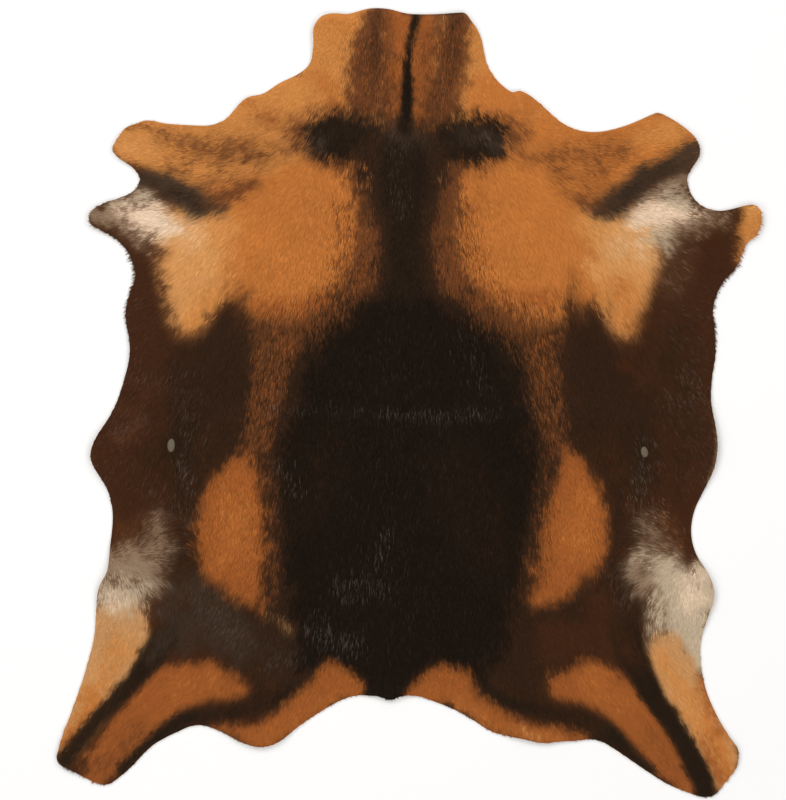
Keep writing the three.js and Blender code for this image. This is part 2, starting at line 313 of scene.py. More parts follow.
    Stroke("saddle shoulders", Tone.PITCH, 21, 1, ((-72, 27, 48), (-5, 70, 52), (78, 29, 56)), 1.7),
    Stroke("saddle", Tone.SOOT, 21, 1, ((-1, 4, 114), (1, -41, 137), (0, -87, 145), (-4, -167, 139),
            (-11, -229, 128), (-17, -281, 68), (-21, -326, 9)), 1.7),
    Stroke("saddle shoulder heart", Tone.SOOT, 18, 0.8, ((-56, 27, 34), (-5, 84, 30), (58, 33, 39)), 1.7),
    Stroke("saddle warm right", Tone.UMBER, 27, 0.3, ((52, -76, 34), (92, -178, 27))),
    Stroke("saddle warm left", Tone.UMBER, 27, 0.3, ((-96, -53, 23), (-113, -133, 23))),
    Stroke("left notch", Tone.UMBER, 13, 1, ((-204, 93, 9), (-209, 61, 27), (-225, 4, 34))),
    Stroke("left notch fringe", Tone.COCOA, 11, 0.5, ((-192, 132, 3), (-193, 111, 6), (-193, 98, 8))),
    Stroke("right notch", Tone.UMBER, 13, 1, ((206, 84, 10), (208, 57, 24), (220, 4, 32))),
    Stroke("right notch fringe", Tone.COCOA, 11, 0.45, ((190, 146, 3), (198, 98, 6))),
    Stroke("left breast foot", Tone.COCOA, 7, 0.6, ((-266, 75, 3), (-248, 73, 3), (-234, 82, 3))),
    Stroke("left hip fringe", Tone.COCOA, 11, 0.5, ((-172, -46, 15), (-159, -98, 9), (-153, -178, 7),
            (-156, -228, 6)), 1.7),
    Stroke("left hip", Tone.RUST, 11, 1, ((-185, -68, 9), (-193, -85, 22), (-200, -110, 34),
            (-202, -144, 41), (-201, -174, 39), (-190, -205, 24), (-177, -225, 10), (-166, -237, 3))),
    Stroke("left hip heart", Tone.TAN, 18, 0.45, ((-196, -115, 17), (-200, -161, 22))),
    Stroke("right hip fringe", Tone.COCOA, 11, 0.5, ((167, -53, 9), (155, -87, 7), (141, -161, 6),
            (131, -218, 6)), 1.7),
    Stroke("right hip", Tone.RUST, 11, 1, ((183, -63, 8), (188, -81, 19), (190, -104, 30),
            (190, -135, 36), (187, -164, 38), (173, -192, 30), (157, -216, 14), (141, -233, 3))),
    Stroke("right hip heart", Tone.TAN, 18, 0.42, ((197, -115, 16), (192, -158, 19))),
    Stroke("left hip tail", Tone.BUFF, 6, 0.5, ((-161, -242, 3), (-143, -253, 5), (-131, -264, 3))),
    Stroke("left groin top", Tone.MIST, 16, 0.75, ((-288, -137, 9), (-285, -164, 16), (-314, -171, 15))),
    Stroke("left groin veil", Tone.MIST, 15, 0.95, ((-332, -185, 17), (-296, -190, 17),
            (-290, -210, 10))),
    Stroke("left groin", Tone.ASH, 16, 0.85, ((-343, -215, 16), (-321, -221, 24), (-305, -215, 14))),
    Stroke("left groin pale", Tone.CREAM, 10, 0.5, ((-339, -224, 13), (-323, -231, 14))),
    Stroke("right groin top", Tone.MIST, 16, 0.6, ((270, -138, 10), (284, -164, 21))),
    Stroke("right groin veil", Tone.MIST, 14, 1, ((258, -185, 11), (265, -208, 13), (290, -187, 18))),
    Stroke("right groin fore", Tone.ASH, 11, 0.8, ((261, -174, 8), (277, -178, 10))),
    Stroke("right groin", Tone.ASH, 15, 1, ((290, -192, 16), (309, -219, 30), (315, -249, 30),
            (325, -278, 17))),
    Stroke("right groin foot", Tone.ASH, 9, 0.6, ((281, -224, 11), (279, -252, 10), (274, -278, 6))),
    Stroke("right groin rim", Tone.ASH, 7, 1, ((330, -185, 6), (335, -203, 9), (342, -226, 14))),
    Stroke("right groin pale", Tone.CREAM, 11, 0.6, ((325, -207, 14), (325, -226, 14))),
    Stroke("right groin hem", Tone.ASH, 8, 1, ((335, -242, 9), (329, -269, 9), (329, -301, 7))),
    Stroke("left leg outer", Tone.BUFF, 8, 1, ((-334, -265, 39), (-342, -298, 30), (-372, -358, 23),
            (-391, -392, 14))),
    Stroke("left leg outer warm", Tone.HONEY, 14, 0.6, ((-327, -281, 16), (-362, -343, 16),
            (-384, -383, 11))),
    Stroke("left leg outer top", Tone.BUFF, 10, 0.85, ((-312, -237, 11), (-304, -256, 9))),
    Stroke("left groin foot", Tone.ASH, 13, 0.7, ((-346, -226, 10), (-318, -231, 13))),
    Stroke("left groin foot pale", Tone.CREAM, 10, 0.4, ((-339, -228, 8), (-323, -231, 8))),
    Stroke("left leg outer end", Tone.TAN, 17, 0.9, ((-357, -338, 11), (-387, -388, 14))),
    Stroke("left leg outer tip", Tone.RUST, 11, 0.5, ((-375, -365, 8), (-391, -392, 10))),
    Stroke("right leg outer", Tone.BUFF, 7, 1, ((293, -283, 21), (311, -326, 25), (337, -372, 25),
            (357, -406, 21), (357, -429, 14))),
    Stroke("right leg outer warm", Tone.HONEY, 11, 0.65, ((286, -286, 7), (315, -343, 15),
            (357, -412, 16))),
    Stroke("right leg outer end", Tone.TAN, 13, 0.8, ((334, -338, 7), (351, -386, 10), (362, -420, 11))),
    Stroke("right leg outer tip", Tone.RUST, 11, 0.75, ((336, -386, 7), (347, -413, 9), (357, -433, 8))),
    Stroke("right leg outer rim", Tone.RUST, 9, 0.65, ((334, -317, 5), (343, -342, 5), (353, -372, 5))),
    Stroke("left leg inner", Tone.RUST, 9, 1, ((-195, -329, 13), (-232, -318, 24), (-273, -329, 30),
            (-307, -363, 25), (-341, -404, 23), (-357, -424, 14))),
    Stroke("left leg inner end", Tone.COCOA, 16, 0.45, ((-307, -376, 11), (-332, -402, 13),
            (-353, -420, 11))),
    Stroke("left leg inner warm", Tone.TAN, 16, 0.3, ((-221, -317, 9), (-261, -326, 11))),
    Stroke("right leg inner", Tone.RUST, 9, 1, ((172, -324, 14), (208, -319, 25), (243, -340, 25),
            (269, -374, 22), (295, -408, 18), (320, -437, 11))),
    Stroke("right leg inner warm", Tone.TAN, 16, 0.3, ((206, -319, 14), (252, -351, 9))),
    Stroke("right leg inner end", Tone.COCOA, 16, 0.3, ((274, -381, 9), (311, -424, 10))),
    Stroke("left leg stripe", Tone.PITCH, 6, 0.92, ((-277, -269, 15), (-292, -289, 14), (-313, -316, 10),
            (-335, -339, 9), (-356, -361, 9), (-374, -383, 10), (-391, -404, 10))),
    Stroke("right leg stripe", Tone.PITCH, 6, 1, ((246, -269, 17), (263, -306, 14), (282, -340, 12),
            (305, -372, 11), (322, -403, 12), (334, -429, 13), (339, -447, 11))),
    Stroke("left leg stripe top", Tone.SMOKE, 10, 0.6, ((-275, -267, 14), (-291, -289, 10))),
    Stroke("right leg stripe top", Tone.BARK, 10, 0.6, ((243, -269, 15), (260, -298, 10))),
    Stroke("left hem stripe", Tone.PITCH, 8, 1, ((-120, -326, 5), (-138, -333, 7), (-166, -341, 10),
            (-204, -353, 10), (-244, -356, 10), (-275, -371, 9), (-301, -392, 6), (-327, -420, 5))),
    Stroke("right hem stripe", Tone.PITCH, 8, 1, ((87, -331, 6), (121, -345, 8), (160, -353, 10),
            (200, -363, 11), (231, -380, 11), (256, -404, 7), (274, -418, 5))),
    Stroke("left hem stripe, aft", Tone.BARK, 9, 0.5, ((-161, -340, 7), (-233, -351, 8))),
    Stroke("right hem stripe, fore", Tone.BARK, 9, 0.45, ((155, -353, 7), (217, -371, 8))),
    Stroke("left rump", Tone.RUST, 9, 1, ((-65, -326, 14), (-86, -319, 21), (-111, -341, 17),
            (-142, -365, 16), (-168, -380, 14), (-195, -375, 9), (-223, -371, 3))),
    Stroke("left rump hem", Tone.TAN, 10, 0.25, ((-90, -340, 7), (-125, -367, 8), (-170, -382, 10))),
    Stroke("right rump", Tone.RUST, 9, 1, ((10, -332, 13), (36, -322, 21), (53, -322, 21), (69, -342, 13),
            (101, -364, 13), (149, -378, 11), (195, -384, 7))),
    Stroke("right rump hem", Tone.TAN, 9, 0.3, ((52, -340, 8), (103, -372, 7), (172, -382, 9))),
    # painted highlight: a thin pale line where the hair on the hem pucker catches the light
    Stroke("right hem pucker", Tone.SAND, 3, 0.5, ((129, -365, 2), (134, -378, 2), (149, -381, 3))),
    Stroke("tail root", Tone.SOOT, 7, 1, ((-22, -269, 46), (-23, -301, 19), (-22, -324, 14))),
    # painted highlights: thin pale lines where the hair on the creases catches the light
    Stroke("left shoulder crease", Tone.SAND, 2, 0.55, ((-158, 309, 1), (-141, 292, 1), (-128, 278, 1))),
    Stroke("left neck fold shade", Tone.RUST, 9, 0.4, ((-182, 342, 6), (-152, 317, 6))),
    Stroke("right neck crease", Tone.SAND, 2, 0.4, ((124, 351, 1), (129, 333, 1))),
    Stroke("right neck crease, low", Tone.SAND, 2, 0.4, ((152, 335, 1), (140, 321, 1))),
    # painted shade: a short dark line standing in for the shade of a small trough in the belly
    Stroke("left belly pucker, rim", Tone.UMBER, 3, 0.7, ((-325, 9, 2), (-309, 10, 2))),
    Stroke("left belly blush", Tone.COCOA, 10, 0.3, ((-327, -7, 5), (-307, -12, 5))),
    Stroke("left belly blush, hind", Tone.COCOA, 11, 0.4, ((-327, -39, 8), (-309, -30, 8))),
    Stroke("left belly blush, fore", Tone.COCOA, 10, 0.3, ((-300, 7, 7), (-284, 20, 6))),
    # thin pale lines along the curled belly rim: partly its pale cut edge, partly painted highlight where
    # light catches it
    Stroke("right belly hem", Tone.ASH, 3, 0.7, ((346, 2, 1), (351, -24, 2), (352, -50, 2), (349, -73, 2),
            (342, -90, 2))),
    Stroke("left belly hem", Tone.ASH, 3, 0.35, ((-349, -19, 1), (-363, -47, 1), (-363, -66, 1),
            (-349, -96, 1))),
    Stroke("right flank shade", Tone.UMBER, 46, 0.6, ((309, 61, 34), (304, -53, 34))),
    Stroke("left flank shade", Tone.UMBER, 41, 0.3, ((-270, 16, 30), (-278, -64, 30))),
    Stroke("left side", Tone.UMBER, 16, 0.9, ((-248, 43, 21), (-250, -19, 27), (-257, -73, 19),
            (-264, -107, 9))),
    Stroke("left side heart", Tone.PITCH, 16, 0.4, ((-255, -30, 16), (-268, -76, 9))),
    Stroke("left flank hind", Tone.COCOA, 14, 0.45, ((-330, -146, 10), (-314, -142, 9))),
    Stroke("right side", Tone.UMBER, 18, 0.9, ((256, 4, 21), (263, -50, 23), (263, -94, 14))),
    Stroke("right side heart", Tone.PITCH, 16, 0.35, ((252, -41, 14), (272, -48, 9))),
    Stroke("right flank hind", Tone.COCOA, 11, 0.4, ((295, -135, 9), (306, -158, 8))),
)

# Painted highlights and flecks: rows in pale grey tones paint single locks paler as glints and sheen;
# rows in rust and pitch are flecks of the hair's own tone.
PAINTED_GLINTS_AND_FLECKS = (
    Stroke("left shoulder gloss, dark side", Tone.RUST, 16, 0.45, ((-143, 59, 9), (-111, 82, 10),
            (-77, 105, 10), (-49, 143, 9), (-49, 187, 7))),
    Stroke("left shoulder gloss, tan side", Tone.PITCH, 16, 0.4, ((-168, 89, 8), (-125, 102, 9),
            (-88, 127, 9), (-74, 170, 8), (-79, 215, 6))),
    Stroke("right shoulder gloss, dark side", Tone.RUST, 16, 0.45, ((46, 187, 7), (53, 139, 9),
            (83, 102, 10), (117, 75, 10), (133, 50, 9))),
    Stroke("right shoulder gloss, tan side", Tone.PITCH, 16, 0.4, ((65, 215, 6), (69, 170, 8),
            (90, 127, 9), (122, 102, 9), (163, 95, 8))),
    Stroke("left link gloss", Tone.RUST, 14, 0.45, ((-150, 61, 18), (-161, 10, 15), (-174, -47, 11))),
    Stroke("left link gloss, dark", Tone.PITCH, 14, 0.4, ((-154, 73, 16), (-162, 7, 15),
            (-172, -50, 11))),
    Stroke("right link gloss", Tone.RUST, 14, 0.4, ((149, 44, 16), (157, -7, 14), (167, -50, 10))),
    Stroke("right link gloss, dark", Tone.PITCH, 14, 0.4, ((149, 67, 16), (156, 4, 15), (165, -50, 10))),
    Stroke("left neck band gloss", Tone.RUST, 11, 0.35, ((-47, 409, 11), (-49, 358, 16))),
    Stroke("left neck band gloss, dark", Tone.PITCH, 11, 0.3, ((-40, 426, 10), (-42, 375, 13),
            (-36, 333, 9))),
    Stroke("right neck band gloss", Tone.RUST, 11, 0.35, ((46, 426, 11), (42, 358, 15))),
    Stroke("right neck band gloss, dark", Tone.PITCH, 11, 0.3, ((50, 426, 11), (45, 375, 13),
            (30, 335, 9))),
    Stroke("left hip gloss, dark", Tone.PITCH, 11, 0.3, ((-168, -76, 8), (-163, -133, 7),
            (-168, -201, 7))),
    Stroke("right hip gloss, dark", Tone.PITCH, 11, 0.3, ((167, -76, 7), (156, -133, 7), (154, -201, 7))),
    Stroke("fold gloss", Tone.GLINT_SLATE, 7, 0.36, ((-20, -15, 2), (35, -17, 5), (101, -14, 2))),
    Stroke("fold gloss left", Tone.GLINT_SLATE, 7, 0.2, ((-161, -12, 2), (-90, -12, 1), (-22, -14, 1))),
    Stroke("left belly gloss", Tone.GLINT_DUSK, 11, 0.4, ((-330, -37, 7), (-305, -23, 7))),
    Stroke("left belly gloss, fore", Tone.GLINT_DUSK, 11, 0.3, ((-318, 27, 7), (-280, 23, 6))),
    Stroke("left flank gloss", Tone.GLINT_SLATE, 10, 0.5, ((-261, -64, 2), (-255, -85, 5), (-245, -103, 2))),
    Stroke("left flank gloss, low", Tone.GLINT_DUSK, 14, 0.3, ((-296, -98, 7), (-252, -133, 9))),
    Stroke("left side gloss", Tone.GLINT_DUSK, 18, 0.2, ((-261, 27, 11), (-243, -41, 11))),
    Stroke("left saddle gloss", Tone.GLINT_SLATE, 18, 0.22, ((-143, -76, 5), (-131, -98, 5))),
    Stroke("left loin gloss", Tone.GLINT_SLATE, 23, 0.34, ((-73, -210, 5), (-36, -212, 6))),
    Stroke("left loin gloss, fore", Tone.GLINT_SLATE, 16, 0.25, ((-40, -180, 3), (-24, -153, 3))),
    Stroke("left croup gloss", Tone.GLINT_SLATE, 21, 0.4, ((-106, -260, 5), (-65, -281, 6))),
    Stroke("left thigh gloss", Tone.GLINT_DUSK, 16, 0.25, ((-239, -224, 11), (-193, -269, 11))),
    Stroke("left thigh gloss, aft", Tone.GLINT_DUSK, 9, 0.3, ((-168, -301, 5), (-125, -294, 6))),
    Stroke("right belly gloss", Tone.GLINT_SLATE, 17, 0.2, ((320, 29, 5), (331, 4, 3), (295, -5, 3))),
    Stroke("right flank gloss", Tone.GLINT_SLATE, 16, 0.3, ((272, -53, 3), (265, -87, 6), (256, -117, 3))),
    Stroke("right flank gloss, hind", Tone.MIST, 16, 0.25, ((281, -114, 3), (300, -144, 5))),
    Stroke("right hock gloss", Tone.GLINT_DUSK, 10, 0.35, ((231, -195, 7), (246, -228, 7))),
    Stroke("right saddle gloss", Tone.GLINT_DUSK, 27, 0.16, ((67, 73, 5), (83, 16, 5))),
    Stroke("cross gloss", Tone.GLINT_DUSK, 9, 0.3, ((-111, 303, 6), (-99, 289, 6))),
    Stroke("cross gloss right", Tone.GLINT_DUSK, 11, 0.3, ((87, 301, 10), (113, 296, 9))),
    Stroke("withers gloss", Tone.GLINT_DUSK, 14, 0.15, ((-13, 289, 11), (-6, 215, 9))),
    Stroke("back gloss", Tone.SMOKE, 68, 0.06, ((-22, 50, 46), (-11, -224, 68))),
    Stroke("left belly gloss, rim", Tone.GLINT_DUSK, 34, 0.1, ((-330, 95, 23), (-335, -76, 23))),
    Stroke("right belly gloss, rim", Tone.GLINT_DUSK, 34, 0.1, ((331, 95, 23), (331, -76, 23))),
)

GUIDES = (
    Guide("nape", -5, 426, -90, 80),
    Guide("withers", -5, 289, -90, 91),
    Guide("back", -5, 118, -90, 125),
    Guide("loin", -11, -53, -90, 137),
    Guide("croup", -16, -224, -90, 137),
    Guide("tail", -21, -326, -90, 68),
    Guide("neck left", -85, 403, -100, 68),
    Guide("neck right", 75, 403, -80, 68),
    Guide("neck base left", -136, 341, -135, 63),
    Guide("neck base right", 115, 341, -45, 63),
    Guide("shoulder left", -136, 232, -112, 91),
    Guide("shoulder right", 126, 232, -68, 91),
    Guide("breast left", -239, 152, -120, 80),
    Guide("breast right", 243, 152, -60, 80),
    Guide("foreleg left", -221, 289, -176, 68),
    Guide("foreleg left end", -313, 295, -185, 57),
    Guide("foreleg right", 212, 287, -6, 68),
    Guide("foreleg right end", 309, 301, 5, 57),
    Guide("shoulder top left", -168, 289, -168, 55),
    Guide("shoulder top right", 166, 287, -12, 55),
    Guide("bar left", -267, 241, -190, 40),
    Guide("bar right", 274, 260, 10, 40),
    Guide("armpit left", -307, 216, -178, 46),
    Guide("armpit right", 297, 220, -2, 46),
    Guide("elbow left", -358, 211, -185, 40),
    Guide("elbow left under", -327, 187, -150, 34),
    Guide("elbow right", 388, 215, -25, 46),
    Guide("elbow right under", 349, 175, -40, 40),
    Guide("belly left fore", -309, 118, -165, 68),
    Guide("belly right fore", 326, 118, -22, 68),
    Guide("belly left", -330, 16, -125, 68),
    Guide("belly right", 337, 16, -55, 68),
    Guide("side left", -227, 38, -104, 91),
    Guide("side right", 217, 38, -76, 91),
    Guide("flank left", -261, -53, -104, 68),
    Guide("flank right", 269, -53, -76, 68),
    Guide("belly left hind", -341, -58, -120, 51),
    Guide("belly right hind", 337, -53, -60, 51),
    Guide("whorl left up", -313, -133, 75, 43),
    Guide("whorl left fore", -278, -155, 35, 34),
    Guide("whorl left", -284, -185, -5, 30),
    Guide("whorl left aft", -286, -215, -45, 32),
    Guide("whorl left low", -332, -224, -92, 39),
    Guide("whorl right up", 309, -133, 108, 43),
    Guide("whorl right fore", 272, -155, 145, 34),
    Guide("whorl right", 269, -185, 185, 30),
    Guide("whorl right aft", 274, -218, -135, 32),
    Guide("whorl right low", 322, -229, -88, 39),
    Guide("hip left", -195, -144, -100, 80),
    Guide("hip right", 186, -144, -80, 80),
    Guide("thigh left", -227, -252, -122, 68),
    Guide("thigh right", 206, -258, -58, 68),
    Guide("hind leg left outer", -347, -315, -108, 57),
    Guide("hind leg right outer", 322, -326, -66, 57),
    Guide("hind leg left end", -381, -389, -118, 57),
    Guide("hind leg right end", 357, -400, -56, 57),
    Guide("hind leg left inner", -278, -338, -138, 57),
    Guide("hind leg right inner", 252, -349, -48, 57),
    Guide("rump left", -113, -332, -112, 68),
    Guide("rump right", 69, -338, -68, 68),
    Guide("hem left", -176, -372, -100, 57),
    Guide("hem right", 160, -370, -82, 57),
)

RIDGES = (
    Ridge("cross fold line", (-120, -14), (180, -14), 0.6, 10),
    Ridge("back crease", (-6, 120), (-20, -320), 0.7, 9),
    Ridge("left shoulder crease", (-157, 309), (-128, 278), 1.6, 8),
    Ridge("left belly pucker", (-302, 7), (-297, 9), 1.5, 8),
    Ridge("left belly pucker, fore", (-290, 23), (-280, 22), 1.2, 6),
    Ridge("left belly pucker, hind", (-330, -36), (-302, -18), 1.1, 8),
    Ridge("right belly pucker, fore", (318, 34), (326, 18), 1.3, 8),
    Ridge("right belly pucker", (330, 6), (334, 2), 1.3, 6),
    Ridge("right belly line", (288, -4), (320, -2), 0.9, 5),
    Ridge("right belly pucker, hind", (277, -38), (290, -20), 1.1, 8),
    Ridge("right neck notch crease", (122, 352), (130, 326), 0.9, 8),
    Ridge("right neck notch crease, low", (153, 335), (140, 320), 0.8, 7),
    Ridge("left neck crease", (-190, 340), (-160, 318), 1.2, 10),
    Ridge("right hem crease", (132, -380), (124, -350), 1.4, 10),
    Ridge("left hind leg crease", (-340, -352), (-298, -330), 1.0, 9),
    Ridge("left hind leg crease, low", (-348, -376), (-306, -352), 1.0, 9),
)

RIM_TUFTS = (
    RimTuft("left elbow", -345, 200, 45, 4.5),
    RimTuft("left breast edge", -318, 160, 60, 6.0),
    RimTuft("left breast edge, lower", -322, 105, 50, 4.0),
    RimTuft("right elbow tip", 397, 205, 40, 4.0),
    RimTuft("right breast edge", 362, 150, 55, 6.0),
    RimTuft("right breast edge, lower", 347, 95, 50, 4.5),
    RimTuft("right hind leg end", 358, -432, 45, 3.0),
    RimTuft("left hind leg end", -372, -425, 50, 3.0),
    RimTuft("right rump hem", 170, -385, 60, 1.2),
    RimTuft("tail", -22, -336, 30, 1.5),
)


def linear_light(display: Array | Triple) -> Array:
    """Turns display colours into linear light.

    Args:
        display: red, green and blue from 0 to 255.

    Returns:
        The same colours as linear values from 0 to 1.
    """
    share = np.asarray(display, float) / 255.0
    return np.where(share <= 0.04045, share / 12.92, ((share + 0.055) / 1.055) ** 2.4)


def ease(share: Array) -> Array:
    """A smooth step from 0 to 1 as share goes from 0 to 1."""
    held = np.clip(share, 0.0, 1.0)
    return held * held * (3.0 - 2.0 * held)


def bump(distance: Array, reach: float) -> Array:
    """A soft bump, 1 at its middle and level at a distance of reach."""
    return (1.0 - np.clip(distance / reach, 0.0, 1.0) ** 2) ** 2


def mixed(low: Array | float, high: Array | float, share: Array | float) -> Array:
    """A value between low and high."""
    return low + (high - low) * share


def pointing(headings: Array) -> Array:
    """The flat direction of each heading, one unit long."""
    return np.stack([np.cos(headings), np.sin(headings)], axis=1)


def beside_line(places: Array, start: Array, end: Array) -> tuple[Array, Array]:
    """Where places lie beside a straight line.

    Args:
        places: (n, 2) places.
        start: one end of the line.
        end: its other end.

    Returns:
        (n,) distances from the line, and (n,) how far along it the nearest point is, from 0 to 1.
    """
    line = end - start
    span = max(float(line @ line), 1e-9)
    share = np.clip((places - start) @ line / span, 0.0, 1.0)
    return np.linalg.norm(places - start - share[:, None] * line, axis=1), share


def in_cell(net: Array, corner: Array, share: Array) -> Array:
    """Values between the four corners of a net's cells.

    Args:
        net: (a, b) values at the corners.
        corner: (n, 2) the low corner of each place's cell.
        share: (n, 2) how far into its cell each place lies.

    Returns:
        (n,) values.
    """
    x, y = corner.T
    low = mixed(net[x, y], net[x + 1, y], share[:, 0])
    high = mixed(net[x, y + 1], net[x + 1, y + 1], share[:, 0])
    return mixed(low, high, share[:, 1])


def deselect() -> None:
    """Leaves nothing selected, so that an operator acts on the new piece alone."""
    bpy.ops.object.select_all(action="DESELECT")


def added(name: str, mesh: bpy.types.Mesh) -> bpy.types.Object:
    """Puts a finished mesh into the scene as a piece."""
    piece = bpy.data.objects.new(name, mesh)
    bpy.context.scene.collection.objects.link(piece)
    return piece


@dataclass(frozen=True)
class Unevenness:
    """Smooth random unevenness over the skin.

    Attributes:
        size: the width of one swell, in metres.
        seed: which unevenness it is.
    """

    size: float
    seed: int

    def at(self, places: Array) -> Array:
        """The unevenness at places.

        Args:
            places: (n, 2) places on the skin, in metres.

        Returns:
            (n,) values from about -1 to 1.
        """
        spot = places / self.size
        spot = spot - np.floor(spot.min(axis=0)) + 1.0
        corner = np.floor(spot).astype(int)
        chance = np.random.default_rng(self.seed)
        net = chance.uniform(-1.0, 1.0, tuple(corner.max(axis=0) + 2))
        return in_cell(net, corner, ease(spot - corner))


Swells = tuple[tuple[float, Unevenness], ...]


def blended(swells: Swells, places: Array) -> Array:
    """Several sizes of unevenness together at places, each with its strength."""
    return sum(strength * uneven.at(places) for strength, uneven in swells)


class Rim:
    """The cut edge of the skin seen from above, as even points with their outward directions.

    Attributes:
        LEAST_UP: how far up the faces of the solid's hair side point, at the least.
    """

    LEAST_UP = 0.3

    def __init__(self, node: bpy.types.Object, spacing: float, rounds: int) -> None:
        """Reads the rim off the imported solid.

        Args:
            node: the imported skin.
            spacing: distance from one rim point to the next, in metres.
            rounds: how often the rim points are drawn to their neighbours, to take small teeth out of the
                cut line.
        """
        self.points = self._evened(self._loop(node), spacing, rounds)
        along = np.roll(self.points, -1, axis=0) - np.roll(self.points, 1, axis=0)
        along /= np.linalg.norm(along, axis=1)[:, None]
        x, y = self.points.T
        self.turn = float(np.sign(np.sum(x * np.roll(y, -1) - np.roll(x, -1) * y)))
        self.outward = self.turn * np.stack([along[:, 1], -along[:, 0]], axis=1)
        self.tree = KDTree(len(self.points))
        for index, (px, py) in enumerate(self.points):
            self.tree.insert((px, py, 0.0), index)
        self.tree.balance()

    @classmethod
    def _loop(cls, node: bpy.types.Object) -> Array:
        """The border of the solid's hair side, in order.

        Args:
            node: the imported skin.

        Returns:
            (n, 2) places in metres.
        """
        mesh = bmesh.new()
        mesh.from_mesh(node.data)
        bmesh.ops.remove_doubles(mesh, verts=mesh.verts, dist=0.01 * MM)
        mesh.normal_update()
        sides = [face for face in mesh.faces if face.normal.z < cls.LEAST_UP]
        bmesh.ops.delete(mesh, geom=sides, context="FACES")
        links: dict[int, list[int]] = {}
        places = {}
        for edge in (e for e in mesh.edges if e.is_boundary):
            for vert, other in (edge.verts, reversed(edge.verts)):
                links.setdefault(vert.index, []).append(other.index)
                places[vert.index] = (vert.co.x, vert.co.y)
        mesh.free()
        order = [next(iter(links))]
        seen = set(order)
        while (step := next((n for n in links[order[-1]] if n not in seen), None)) is not None:
            order.append(step)
            seen.add(step)
        return np.array([places[i] for i in order])

    @staticmethod
    def _evened(loop: Array, spacing: float, rounds: int) -> Array:
        """Spaces a closed loop evenly and takes the small teeth out of it.

        Args:
            loop: (n, 2) places in order.
            spacing: distance from one point to the next.
            rounds: how often each point is drawn to its neighbours.

        Returns:
            (m, 2) places in order.
        """
        closed = np.vstack([loop, loop[:1]])
        steps = np.linalg.norm(np.diff(closed, axis=0), axis=1)
        run = np.concatenate([[0.0], np.cumsum(steps)])
        stops = np.linspace(0.0, run[-1], round(run[-1] / spacing), endpoint=False)
        points = np.stack([np.interp(stops, run, closed[:, i]) for i in (0, 1)], axis=1)
        for _ in range(rounds):
            beside = np.roll(points, 1, axis=0) + np.roll(points, -1, axis=0)
            points = 0.5 * points + 0.25 * beside
        return points

    def depth(self, places: Array) -> Array:
        """How far inside the rim places lie.

        Args:
            places: (n, 2) places in metres.

        Returns:
            (n,) distances in metres, negative outside.
        """
        nearest = np.array([self.tree.find((x, y, 0.0))[1] for x, y in places])
        away = places - self.points[nearest]
        side = -np.sum(away * self.outward[nearest], axis=1)
        return np.copysign(np.linalg.norm(away, axis=1), side)


@dataclass(frozen=True)
class Markings:
    """The coat's colours over the whole skin.

    Attributes:
        ground: the tone where no stroke lies.
        strokes: the markings in the order they lie over each other.
        gloss: painted glints, pale single locks that stand in for shine, and flecks of single locks in
            another hair tone; their strength the share of locks that do.
        fray: how far the edges of markings wander, as a share of their feather.
        fray_swells: the wide and the fine swings of that wander.
        flecks: the tufts that take a tone together.
        fleck_share: how far a tuft decides whether a lock takes a tone.
        lock_share: how far the lock itself decides that.
        lot_range: the least and the most of a tone's share at which locks take it.
        crispness: how sharply locks either take a tone or don't.
        grain: how far hair takes a tone lock by lock, and not evenly.
        seed: which locks take which tone.
    """

    ground: Tone = Tone.BARK
    strokes: tuple[Stroke, ...] = STROKES
    gloss: tuple[Stroke, ...] = PAINTED_GLINTS_AND_FLECKS
    fray: float = 0.4
    fray_swells: Swells = ((1.0, Unevenness(14 * MM, 5)), (0.6, Unevenness(5 * MM, 6)))
    flecks: Unevenness = Unevenness(3.5 * MM, 7)
    fleck_share: float = 0.5
    lock_share: float = 0.5
    lot_range: Pair = (0.125, 0.875)
    crispness: float = 4.0
    grain: float = 0.42
    seed: int = 12

    def tones(self, places: Array, roots: Array, grain: float) -> Array:
        """The hair's colour at places.

        Args:
            places: (n, 2) places in metres.
            roots: (n, 2) where the hair seen there is rooted.
            grain: how far hair takes a tone lock by lock.

        Returns:
            (n, 3) linear colours.
        """
        chance = np.random.default_rng(self.seed)
        count, spots = len(places), places / MM
        lot = 0.5 + self.fleck_share * self.flecks.at(roots)
        lot = (lot + self.lock_share * (chance.random(count) - 0.5)).clip(*self.lot_range)
        wander = self.fray * blended(self.fray_swells, places)
        colours = np.tile(self.ground.display(), (count, 1))
        for stroke in self.strokes:
            share = stroke.share(spots, wander)
            taken = ease(0.5 + self.crispness * (share - lot))
            share = mixed(share, taken, grain * stroke.mottle)
            colours += share[:, None] * (stroke.tone.display() - colours)
        # painted glints: pale single locks standing in for shine, together with flecks of other hair
        # tones
        for stroke in self.gloss:
            lit = grain * (chance.random(count) < stroke.share(spots))
            colours += lit[:, None] * (stroke.tone.display() - colours)
        return linear_light(colours)


@dataclass(frozen=True)
class HairFlow:
    """Which way the hair lies over the whole skin.

    Attributes:
        guides: the places that its lie follows.
        least_pull: how far each guide is felt everywhere, so that all hair has a heading.
    """

    guides: tuple[Guide, ...] = GUIDES
    least_pull: float = 1e-6

    def headings(self, places: Array) -> Array:
        """The hair's heading at places.

        Args:
            places: (n, 2) places in metres.

        Returns:
            (n,) angles in radians from +X.
        """
        total = np.zeros((len(places), 2))
        for guide in self.guides:
            gap = np.linalg.norm(places / MM - (guide.across, guide.along), axis=1)
            pull = np.exp(-((gap / guide.reach) ** 2)) + self.least_pull
            angle = math.radians(guide.heading)
            total += pull[:, None] * (math.cos(angle), math.sin(angle))
        return np.arctan2(total[:, 1], total[:, 0])


